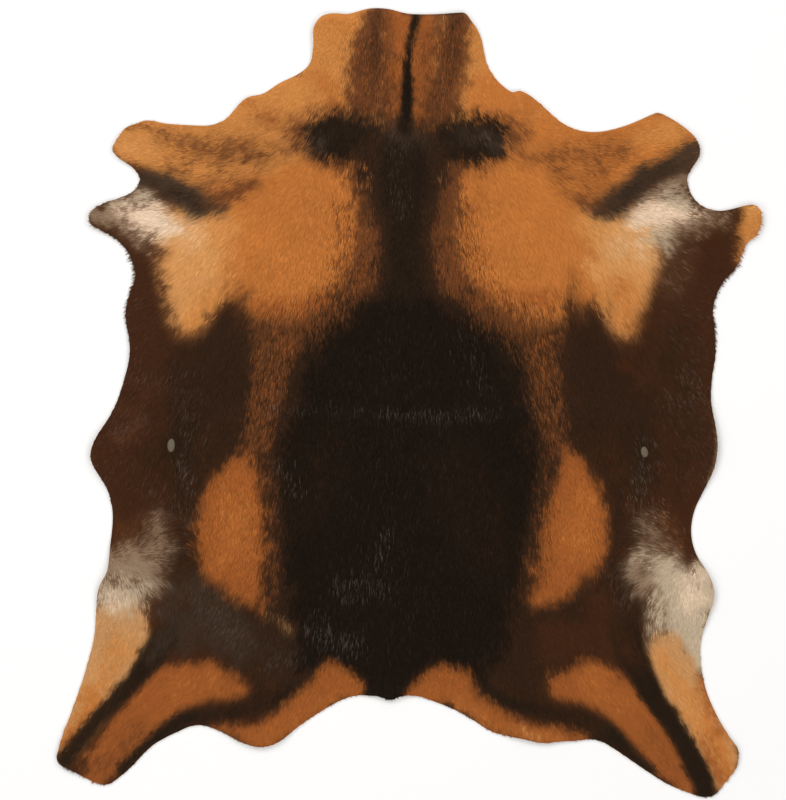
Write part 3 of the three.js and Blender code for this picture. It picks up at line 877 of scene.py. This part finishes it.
def new_finish(name: str, roughness: float,
               specular: float) -> tuple[bpy.types.Material, bpy.types.Node]:
    """Starts a material.

    Args:
        name: the material's name.
        roughness: how dull its shine is.
        specular: how strong its shine is.

    Returns:
        The material and its shader.
    """
    made = bpy.data.materials.new(name)
    made.use_nodes = True
    shader = made.node_tree.nodes["Principled BSDF"]
    shader.inputs["Roughness"].default_value = roughness
    shader.inputs["Specular IOR Level"].default_value = specular
    return made, shader


@dataclass(frozen=True)
class HairFinish:
    """Lying goat hair with a soft gloss, its tone held on the mesh."""

    name: str
    roughness: float
    specular: float
    attribute: str = "hair_tone"

    def material(self) -> bpy.types.Material:
        """Makes the hair material."""
        made, shader = new_finish(self.name, self.roughness, self.specular)
        tone = made.node_tree.nodes.new("ShaderNodeAttribute")
        tone.attribute_name = self.attribute
        made.node_tree.links.new(tone.outputs["Color"], shader.inputs["Base Color"])
        return made

    def dress(self, mesh: bpy.types.Mesh, colours: Array, material: bpy.types.Material) -> None:
        """Gives a mesh the hair material and a colour for each vertex.

        Args:
            mesh: the mesh that gets them.
            colours: (n, 3) linear colours.
            material: the hair material, made once.
        """
        layer = mesh.color_attributes.new(self.attribute, "FLOAT_COLOR", "POINT")
        rgba = np.ones((len(colours), 4), np.float32)
        rgba[:, :3] = colours
        layer.data.foreach_set("color", rgba.ravel())
        mesh.materials.append(material)


@dataclass(frozen=True)
class PlainFinish:
    """One even colour, as display red, green and blue from 0 to 255."""

    name: str
    tone: Triple
    roughness: float
    specular: float

    def material(self) -> bpy.types.Material:
        """Makes the plain material."""
        made, shader = new_finish(self.name, self.roughness, self.specular)
        shader.inputs["Base Color"].default_value = (*linear_light(self.tone), 1.0)
        return made


@dataclass(frozen=True)
class FleshFinish:
    """Pale tanned flesh side, a fine nap with faint cloudy patches."""

    name: str = "flesh_side"
    roughness: float = 0.9
    specular: float = 0.2
    dark: Triple = (184, 160, 130)
    pale: Triple = (214, 196, 170)
    dark_upto: float = 0.35
    pale_from: float = 0.65
    cloud_scale: float = 14.0
    cloud_detail: float = 6.0
    nap_scale: float = 900.0
    nap_strength: float = 0.25
    nap_height: float = 0.3 * MM

    def material(self) -> bpy.types.Material:
        """Makes the flesh side's material."""
        made, shader = new_finish(self.name, self.roughness, self.specular)
        nodes, links = made.node_tree.nodes, made.node_tree.links
        place = nodes.new("ShaderNodeTexCoord")
        cloud = nodes.new("ShaderNodeTexNoise")
        cloud.inputs["Scale"].default_value = self.cloud_scale
        cloud.inputs["Detail"].default_value = self.cloud_detail
        ramp = nodes.new("ShaderNodeValToRGB")
        stops = ((self.dark, self.dark_upto), (self.pale, self.pale_from))
        for stop, (tone, at) in zip(ramp.color_ramp.elements, stops):
            stop.position = at
            stop.color = (*linear_light(tone), 1.0)
        nap = nodes.new("ShaderNodeTexNoise")
        nap.inputs["Scale"].default_value = self.nap_scale
        relief = nodes.new("ShaderNodeBump")
        relief.inputs["Strength"].default_value = self.nap_strength
        relief.inputs["Distance"].default_value = self.nap_height
        for texture in (cloud, nap):
            links.new(place.outputs["Object"], texture.inputs["Vector"])
        links.new(cloud.outputs["Fac"], ramp.inputs["Fac"])
        links.new(ramp.outputs["Color"], shader.inputs["Base Color"])
        links.new(nap.outputs["Fac"], relief.inputs["Height"])
        links.new(relief.outputs["Normal"], shader.inputs["Normal"])
        return made


COAT_FINISH = HairFinish("goat_hair", roughness=0.45, specular=0.04)
UNDERCOAT_FINISH = HairFinish("undercoat", roughness=0.8, specular=0.1)
TEAT_FINISH = PlainFinish("bare_skin", (86, 75, 57), roughness=0.55, specular=0.3)
FLOOR_FINISH = PlainFinish("pale_floor", (224, 223, 222), roughness=0.9, specular=0.1)


@dataclass
class Hide:
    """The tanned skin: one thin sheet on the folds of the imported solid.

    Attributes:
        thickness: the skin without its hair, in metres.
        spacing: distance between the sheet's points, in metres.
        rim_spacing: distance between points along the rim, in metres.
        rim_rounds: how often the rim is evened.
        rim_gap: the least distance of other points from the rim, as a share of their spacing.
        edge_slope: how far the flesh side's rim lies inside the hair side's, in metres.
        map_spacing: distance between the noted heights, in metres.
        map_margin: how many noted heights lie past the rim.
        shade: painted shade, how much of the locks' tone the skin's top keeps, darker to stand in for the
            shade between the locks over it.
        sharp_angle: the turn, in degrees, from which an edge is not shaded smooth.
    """

    thickness: float = 1.7 * MM
    spacing: float = 6.0 * MM
    rim_spacing: float = 3.0 * MM
    rim_rounds: int = 2
    rim_gap: float = 0.6
    edge_slope: float = 0.3 * MM
    map_spacing: float = 2.5 * MM
    map_margin: int = 4
    shade: float = 0.85
    sharp_angle: float = 50.0
    name: str = "hide"

    def build(self, node: bpy.types.Object) -> bpy.types.Object:
        """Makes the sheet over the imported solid's underside.

        Args:
            node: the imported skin.

        Returns:
            The finished sheet.
        """
        self.rim = Rim(node, self.rim_spacing, self.rim_rounds)
        flat, faces = self._cut_out()
        under = self._underside(node, flat) + self._creases(flat)
        self.points = np.column_stack([flat, under + self.thickness])
        self.faces = np.array(faces)
        self._map_heights()
        self.depths = np.maximum(self.rim.depth(flat), 0.0)
        mesh = self._closed_mesh()
        # painted shade: the skin's top takes the coat's tones made darker, standing in for the shade
        # between the locks
        tones = self.shade * Markings().tones(flat, flat, grain=0.0)
        UNDERCOAT_FINISH.dress(mesh, np.vstack([tones, tones]), UNDERCOAT_FINISH.material())
        mesh.materials.append(FleshFinish().material())
        piece = added(self.name, mesh)
        deselect()
        piece.select_set(True)
        bpy.context.view_layer.objects.active = piece
        bpy.ops.object.shade_smooth_by_angle(angle=math.radians(self.sharp_angle))
        return piece

    def areas(self) -> Array:
        """The area of each triangle of the hair side seen from above, in square metres."""
        corners = self.points[self.faces][:, :, :2]
        (ax, ay), (bx, by) = np.moveaxis(corners[:, 1:] - corners[:, :1], 0, -1)
        return 0.5 * np.abs(ax * by - ay * bx)

    def _map_heights(self) -> None:
        """Notes the hair side's height on an even net, so that hair can follow it."""
        surface = BVHTree.FromPolygons(self.points.tolist(), self.faces.tolist())
        self.map_low = self.points[:, :2].min(axis=0) - self.map_margin * self.map_spacing
        cells = np.ceil(np.ptp(self.points[:, :2], axis=0) / self.map_spacing).astype(int)
        self.heights = np.zeros(cells + 2 * self.map_margin + 2)
        for cell in np.ndindex(self.heights.shape):
            x, y = self.map_low + self.map_spacing * np.array(cell)
            hit = surface.ray_cast(Vector((x, y, 1.0)), -UP)[0]
            self.heights[cell] = (hit or surface.find_nearest(Vector((x, y, 0.0)))[0]).z

    def height(self, places: Array) -> Array:
        """The hair side's height at places.

        Args:
            places: (n, 2) places in metres.

        Returns:
            (n,) heights in metres, past the rim those of the nearest skin.
        """
        spot = (places - self.map_low) / self.map_spacing
        corner = np.clip(np.floor(spot).astype(int), 0, np.array(self.heights.shape) - 2)
        return in_cell(self.heights, corner, np.clip(spot - corner, 0.0, 1.0))

    def _closed_mesh(self) -> bpy.types.Mesh:
        """Closes the sheet with its flesh side and a cut edge that slopes in a little.

        Returns:
            The mesh, its hair side in the first material and the rest in the second.
        """
        count, edge = len(self.points), len(self.rim.points)
        under = self.points - (0.0, 0.0, self.thickness)
        under[:edge, :2] -= self.edge_slope * self.rim.outward
        step = np.arange(edge)
        after = (step + 1) % edge
        if self.rim.turn < 0:
            step, after = after, step
        band = np.stack([step, step + count, after + count, after], axis=1)
        faces = [*self.faces.tolist(), *(self.faces[:, ::-1] + count).tolist(), *band.tolist()]
        mesh = bpy.data.meshes.new(self.name)
        mesh.from_pydata(np.vstack([self.points, under]).tolist(), [], faces)
        hair_side = len(self.faces)
        slots = np.repeat([0, 1], [hair_side, len(faces) - hair_side])
        mesh.polygons.foreach_set("material_index", slots.astype(np.int32))
        mesh.update()
        return mesh

    def _cut_out(self) -> tuple[Array, list[tuple[int, int, int]]]:
        """Fills the outline with an even net of triangles that face up.

        Returns:
            (n, 2) places in metres and the triangles between them.
        """
        row = self.spacing * math.sqrt(3.0) / 2.0
        low, high = self.rim.points.min(axis=0), self.rim.points.max(axis=0)
        columns, rows = np.ceil((high - low) / (self.spacing, row)).astype(int) + 1
        across, along = (net.ravel() for net in np.meshgrid(np.arange(columns), np.arange(rows)))
        inner = low + np.column_stack([(across + 0.5 * (along % 2)) * self.spacing, along * row])
        inner = inner[self.rim.depth(inner) > self.rim_gap * self.spacing]
        count = len(self.rim.points)
        border = [(i, (i + 1) % count) for i in range(count)]
        places = [Vector(place) for place in np.vstack([self.rim.points, inner])]
        inside_only, tolerance = 1, 0.001 * MM
        flat, _, faces, *_ = delaunay_2d_cdt(places, border, [], inside_only, tolerance)
        return np.array(flat), [tuple(face) for face in faces]

    @staticmethod
    def _underside(node: bpy.types.Object, flat: Array) -> Array:
        """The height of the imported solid's underside at places.

        Args:
            node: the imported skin.
            flat: (n, 2) places in metres.

        Returns:
            (n,) heights in metres.
        """
        solid = BVHTree.FromObject(node, bpy.context.evaluated_depsgraph_get())
        heights = []
        for x, y in flat:
            start = Vector((x, y, -1.0))
            hit = solid.ray_cast(start, UP)[0] or solid.find_nearest(Vector((x, y, 0.0)))[0]
            heights.append(hit.z)
        return np.array(heights)

    @staticmethod
    def _creases(flat: Array) -> Array:
        """How much the fine creases lift the skin at places.

        Args:
            flat: (n, 2) places in metres.

        Returns:
            (n,) heights in metres.
        """
        return MM * np.max([ridge.lift(flat / MM) for ridge in RIDGES], axis=0)


@dataclass
class Coat:
    """The hair: closed lock after lock, rooted in the skin and lying along its flow.

    Attributes:
        locks: how many locks there are in all.
        length: of a lock on the body, in metres.
        leg_length: of a lock at the rim and on the legs, in metres.
        width: of a lock at its middle, in metres.
        lay: how high tips lie over the skin on the body, in metres.
        rim_lay: the same at the rim.
        bend: how far a lock's middle stands over the line from root to tip, in metres.
        least_bend: the least of that, where the skin dips under a lock.
        sway: how far a lock's middle lies to one side, as a share of its length.
        size_range: how short and long, thin and wide locks are beside their usual size.
        lay_range: the same of how high tips lie.
        bend_range: the same of the bend.
        overhang: how far hair hangs past the rim, in metres.
        overhang_range: the same range of the overhang.
        least_length: what is left of the shortest lock at the rim, as a share.
        body_depth: how far inside the rim hair is as long as on the back, in metres.
        root_depth: how deep roots sit in the skin, in metres.
        middle: where a lock is widest, as a share of its length.
        stray: how far headings differ between neighbours, in degrees.
        clump: how far headings differ between tufts, in degrees.
        tuft_turns: the wide and the fine tufts that turn together.
        lay_swells: the tufts that lie higher or lower together.
        tuft_shades: the wide and the fine tufts that are brighter or darker together.
        roll: how far locks face the light to either side, as a slope.
        tone_at: where a lock takes its root's and its tip's tone, as shares of its length.
        brightness: makes up for the shade that locks throw on each other.
        lock_shade: how far brightness differs between neighbours.
        brightest: the most light that hair gives back.
        scatter: how far out the rarest locks lie, beside the usual spread.
        cell_half: half the width of a lock's place in its cell of the UV map.
    """

    locks: int = 220_000
    length: float = 12.5 * MM
    leg_length: float = 7.5 * MM
    width: float = 0.9 * MM
    lay: float = 1.0 * MM
    rim_lay: float = 0.6 * MM
    bend: float = 0.25 * MM
    least_bend: float = 0.12 * MM
    sway: float = 0.04
    size_range: Pair = (0.75, 1.25)
    lay_range: Pair = (0.6, 1.4)
    bend_range: Pair = (0.5, 1.5)
    overhang: float = 0.4 * MM
    overhang_range: Pair = (0.1, 1.4)
    least_length: float = 0.2
    body_depth: float = 70.0 * MM
    root_depth: float = 0.4 * MM
    middle: float = 0.45
    stray: float = 6.0
    clump: float = 11.0
    tuft_turns: Swells = ((0.6, Unevenness(22 * MM, 21)), (0.4, Unevenness(8 * MM, 22)))
    lay_swells: Swells = ((0.25, Unevenness(18 * MM, 31)),)
    tuft_shades: Swells = ((0.05, Unevenness(26 * MM, 41)), (0.03, Unevenness(7 * MM, 42)))
    roll: float = 0.2
    tone_at: Pair = (0.25, 0.9)
    brightness: float = 0.94
    lock_shade: float = 0.05
    brightest: float = 0.95
    scatter: float = 2.0
    cell_half: float = 0.46
    seed: int = 11
    bands: tuple[str, ...] = ("coat_neck", "coat_shoulders", "coat_barrel", "coat_loin", "coat_haunches")

    def build(self, hide: Hide) -> list[bpy.types.Object]:
        """Makes the coat in bands from neck to tail.

        Args:
            hide: the skin, built.

        Returns:
            One piece for each band.
        """
        self.hide = hide
        self.chance = np.random.default_rng(self.seed)
        roots, depths = self._spread()
        order = np.argsort(-roots[:, 1])
        self.roots, self.flat, self.depths = roots[order], roots[order, :2], depths[order]
        self.headings = self._combed()
        self.lengths = self._trimmed()
        points, colours, facing = self._points(), self._colours(), self._normals()
        finish = COAT_FINISH.material()
        share = np.array_split(np.arange(self.locks), len(self.bands))
        return [self._piece(name, points[part], facing[part], colours[part], finish)
                for name, part in zip(self.bands, share)]

    def _spread(self) -> tuple[Array, Array]:
        """Spreads the roots evenly over the skin.

        Returns:
            (n, 3) roots and how far each lies inside the rim, in metres.
        """
        hide = self.hide
        upto = np.cumsum(hide.areas())
        spot = (np.arange(self.locks) + self.chance.random(self.locks)) / self.locks * upto[-1]
        face = hide.faces[np.minimum(np.searchsorted(upto, spot), len(upto) - 1)]
        u, v = self.chance.random((2, self.locks))
        folded = u + v > 1.0
        u, v = np.where(folded, 1.0 - u, u), np.where(folded, 1.0 - v, v)
        weights = np.stack([1.0 - u - v, u, v], axis=1)
        roots = np.einsum("nk,nkc->nc", weights, hide.points[face])
        return roots, np.einsum("nk,nk->n", weights, hide.depths[face])

    def _combed(self) -> Array:
        """The way each lock lies, uneven between tufts and locks, in radians from +X."""
        tufts = self.clump * blended(self.tuft_turns, self.flat)
        turn = tufts + self.stray * self.chance.standard_normal(self.locks)
        return HairFlow().headings(self.flat) + np.radians(turn)

    def _uneven(self, span: Pair) -> Array:
        """A random value within span for each lock."""
        return mixed(*span, self.chance.random(self.locks))

    def _trimmed(self) -> Array:
        """How long each lock is, short enough at the rim not to hang past the outline.

        Returns:
            (n,) lengths in metres.
        """
        length = mixed(self.leg_length, self.length, ease(self.depths / self.body_depth))
        length *= self._uneven(self.size_range)
        near = np.nonzero(self.depths < length)[0]
        flat, depths = self.flat[near], self.depths[near]
        past = np.full(len(near), self.overhang / MM)
        for tuft in RIM_TUFTS:
            gap = np.linalg.norm(flat / MM - (tuft.across, tuft.along), axis=1)
            past = np.maximum(past, tuft.overhang * bump(gap, tuft.reach))
        past *= MM * mixed(*self.overhang_range, self.chance.random(len(near)) ** 3)
        tips = flat + length[near, None] * pointing(self.headings[near])
        fall = np.maximum(depths - self.hide.rim.depth(tips), 1e-9)
        length[near] *= np.clip((depths + past) / fall, self.least_length, 1.0)
        return length

    def _points(self) -> Array:
        """The four corners of every lock: root, left and right of its middle, and tip.

        Returns:
            (n, 4, 3) corners in metres.
        """
        ahead = np.column_stack([pointing(self.headings), np.zeros(self.locks)])
        left = np.stack([-ahead[:, 1], ahead[:, 0], ahead[:, 2]], axis=1)
        swell = 1.0 + blended(self.lay_swells, self.flat)
        lay = mixed(self.rim_lay, self.lay, ease(self.depths / self.body_depth))
        tip_height = lay * swell * self._uneven(self.lay_range)
        line_height = mixed(-self.root_depth, tip_height, self.middle)
        middle_height = line_height + self.bend * self._uneven(self.bend_range) * lay / self.lay
        sway = self.sway * self.lengths * self.chance.standard_normal(self.locks)
        half = 0.5 * self.width * self._uneven(self.size_range)
        middle = self.roots + (self.middle * self.lengths)[:, None] * ahead + sway[:, None] * left
        tip = self.roots + self.lengths[:, None] * ahead
        side = half[:, None] * left
        corners = np.stack([self.roots, middle + side, middle - side, tip], axis=1)
        corners[:, 0, 2] -= self.root_depth
        corners[:, 3, 2] = self.hide.height(tip[:, :2]) + tip_height
        straight = mixed(corners[:, 0, 2], corners[:, 3, 2], self.middle)
        risen = np.maximum(self.hide.height(middle[:, :2]) + middle_height, straight + self.least_bend)
        corners[:, 1:3, 2] = risen[:, None]
        return corners

    def _colours(self) -> Array:
        """The linear colour at the four corners of every lock, (n, 4, 3)."""
        ahead = self.lengths[:, None] * pointing(self.headings)
        markings = Markings()
        low, high = (markings.tones(self.flat + at * ahead, self.flat, markings.grain)
                     for at in self.tone_at)
        between = 0.5 * (low + high)
        tones = np.stack([low, between, between, high], axis=1)
        tufts = blended(self.tuft_shades, self.flat)
        bright = self.brightness * (1.0 + tufts + self.lock_shade * self._scattered())
        return np.minimum(tones * bright[:, None, None], self.brightest)

    def _scattered(self) -> Array:
        """A random value for each lock, most of them near 0."""
        return self.chance.standard_normal(self.locks).clip(-self.scatter, self.scatter)

    def _normals(self) -> Array:
        """Which way each lock faces: as the skin does, rolled a little to either side, (n, 3)."""
        step = self.hide.map_spacing
        rise = [self.hide.height(self.flat + shift) - self.hide.height(self.flat - shift)
                for shift in step * np.eye(2)]
        facing = np.stack([-rise[0], -rise[1], np.full(self.locks, 2.0 * step)], axis=1) / (2.0 * step)
        roll = self.roll * self._scattered()
        facing[:, 0] -= roll * np.sin(self.headings)
        facing[:, 1] += roll * np.cos(self.headings)
        return facing / np.linalg.norm(facing, axis=1, keepdims=True)

    def _piece(self, name: str, points: Array, facing: Array, colours: Array,
               finish: bpy.types.Material) -> bpy.types.Object:
        """Joins locks into one mesh, each with its own cell of the piece's UV map.

        Args:
            name: the piece's name.
            points: (n, 4, 3) corners of the locks.
            facing: (n, 3) which way they face the light.
            colours: (n, 4, 3) their colours.
            finish: the hair material.

        Returns:
            The piece.
        """
        count = len(points)
        root, left, right, tip = range(4)
        sides = np.array([[root, right, left], [tip, left, right], [root, left, tip], [root, tip, right]])
        faces = (4 * np.arange(count)[:, None, None] + sides).reshape(-1, 3)
        mesh = bpy.data.meshes.new(name)
        mesh.vertices.add(4 * count)
        mesh.vertices.foreach_set("co", points.astype(np.float32).ravel())
        mesh.loops.add(faces.size)
        mesh.loops.foreach_set("vertex_index", faces.astype(np.int32).ravel())
        mesh.polygons.add(len(faces))
        mesh.polygons.foreach_set("loop_start", np.arange(0, faces.size, 3, dtype=np.int32))
        mesh.update(calc_edges=True)
        columns = math.ceil(math.sqrt(count))
        cell = np.stack([np.arange(count) % columns, np.arange(count) // columns], axis=1) + 0.5
        corner = self.cell_half * np.array([[-1, -1], [1, -1], [1, 1], [-1, 1]])
        quarter = np.stack([corner, np.roll(corner, -1, axis=0), np.zeros((4, 2))], axis=1)
        cells = (cell[:, None, None, :] + quarter[None]) / columns
        layer = mesh.uv_layers.new(name="OFBake")
        layer.data.foreach_set("uv", cells.astype(np.float32).ravel())
        COAT_FINISH.dress(mesh, colours.reshape(-1, 3), finish)
        mesh.validate()
        mesh.normals_split_custom_set_from_vertices(np.repeat(facing, 4, axis=0).tolist())
        return added(name, mesh)


@dataclass(frozen=True)
class Teat:
    """A small bare teat that lies in the belly hair.

    Attributes:
        name: the piece's name.
        place: its middle on the skin, in millimetres.
        half_size: half its breadth, length and height, in millimetres.
        turn: how far it is turned on the skin, in degrees.
        stand: how far its middle stands over the skin, as a share of its half height.
        segments: how many faces go round it.
        rings: how many go from its foot to its crown.
    """

    name: str
    place: Pair
    half_size: Triple
    turn: float
    stand: float = 0.3
    segments: int = 20
    rings: int = 12

    def build(self, hide: Hide, finish: bpy.types.Material) -> bpy.types.Object:
        """Makes the teat on the skin.

        Args:
            hide: the skin, built.
            finish: bare skin.

        Returns:
            The piece.
        """
        place, size = MM * np.array(self.place), MM * np.array(self.half_size)
        level = float(hide.height(place[None])[0]) + self.stand * size[2]
        deselect()
        bpy.ops.mesh.primitive_uv_sphere_add(segments=self.segments, ring_count=self.rings, radius=1.0,
                                             location=(*place, level))
        piece = bpy.context.object
        piece.name = self.name
        piece.scale = size
        piece.rotation_euler.z = math.radians(self.turn)
        bpy.ops.object.transform_apply(location=True, rotation=True, scale=True)
        bpy.ops.object.shade_smooth()
        piece.data.materials.append(finish)
        return piece


TEATS = (
    Teat("left_teat", (-270.5, -48.5), (4.4, 7.8, 2.0), -4.0),
    Teat("right_teat", (268.5, -56.0), (4.2, 6.4, 2.0), 12.0),
)


@dataclass(frozen=True)
class Softbox:
    """One large soft light that faces the skin.

    Attributes:
        name: the light's name.
        azimuth: its direction from the skin, in degrees from +X.
        elevation: its height, in degrees above the floor.
        power: its strength in watts.
        distance: how far from the skin it stands, in metres.
        size: its width, in metres.
    """

    name: str
    azimuth: float
    elevation: float
    power: float
    distance: float = 2.6
    size: float = 1.4

    def build(self) -> None:
        """Sets the light up."""
        turn, rise = math.radians(self.azimuth), math.radians(self.elevation)
        way = (math.cos(rise) * math.cos(turn), math.cos(rise) * math.sin(turn), math.sin(rise))
        place = self.distance * Vector(way)
        deselect()
        bpy.ops.object.light_add(type="AREA", location=place)
        light = bpy.context.object
        light.name = self.name
        light.rotation_euler = (-place).to_track_quat("-Z", "Y").to_euler()
        light.data.shape = "SQUARE"
        light.data.size = self.size
        light.data.energy = self.power


SOFTBOXES = (
    Softbox("key", 130.0, 52.0, 32.0),
    Softbox("fill", 40.0, 50.0, 18.0),
    Softbox("low_left", 220.0, 48.0, 17.0),
    Softbox("low_right", 310.0, 48.0, 17.0),
)


@dataclass
class Studio:
    """A plain pale floor, soft light and a camera straight above, as in the photograph."""

    floor_size: float = 40.0
    floor_drop: float = 0.3 * MM
    sky: float = 0.5
    lens: float = 85.0
    sensor: float = 36.0
    view_height: float = 912.0 * MM
    view_centre: Pair = (-17.9 * MM, 3.2 * MM)
    view_end: float = 50.0

    def build(self) -> None:
        """Makes the floor, the light and the camera."""
        self._floor()
        for softbox in SOFTBOXES:
            softbox.build()
        world = bpy.data.worlds.new("studio")
        world.use_nodes = True
        sky = world.node_tree.nodes["Background"]
        sky.inputs["Color"].default_value = (1.0, 1.0, 1.0, 1.0)
        sky.inputs["Strength"].default_value = self.sky
        bpy.context.scene.world = world
        bpy.context.scene.view_settings.view_transform = "Standard"
        self._camera()

    def _floor(self) -> None:
        """Lays the floor just under the skin."""
        deselect()
        bpy.ops.mesh.primitive_plane_add(size=self.floor_size, location=(0.0, 0.0, -self.floor_drop))
        floor = bpy.context.object
        floor.name = "floor"
        bpy.ops.object.transform_apply(location=True, rotation=True, scale=True)
        floor.data.materials.append(FLOOR_FINISH.material())

    def _camera(self) -> None:
        """Hangs the camera straight above the skin, its top towards the neck."""
        distance = self.view_height * self.lens / self.sensor
        deselect()
        bpy.ops.object.camera_add(location=(*self.view_centre, distance), rotation=(0.0, 0.0, 0.0))
        camera = bpy.context.object
        camera.name = "camera"
        camera.data.lens = self.lens
        camera.data.sensor_width = self.sensor
        camera.data.clip_end = self.view_end
        bpy.context.scene.camera = camera


def main() -> None:
    """Builds the skin, its coat and the studio, and says what was made."""
    logging.basicConfig(level=logging.INFO, format="%(name)s: %(message)s")
    skin = Hide()
    hide = skin.build(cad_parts["goatskin"])
    coat = Coat().build(skin)
    bare = TEAT_FINISH.material()
    teats = [teat.build(skin, bare) for teat in TEATS]
    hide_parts("goatskin")
    for piece in (hide, *coat, *teats):
        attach(piece, "root")
        LOG.info("%s has %d faces", piece.name, len(piece.data.polygons))
    Studio().build()


if __name__ == "__main__":
    main()
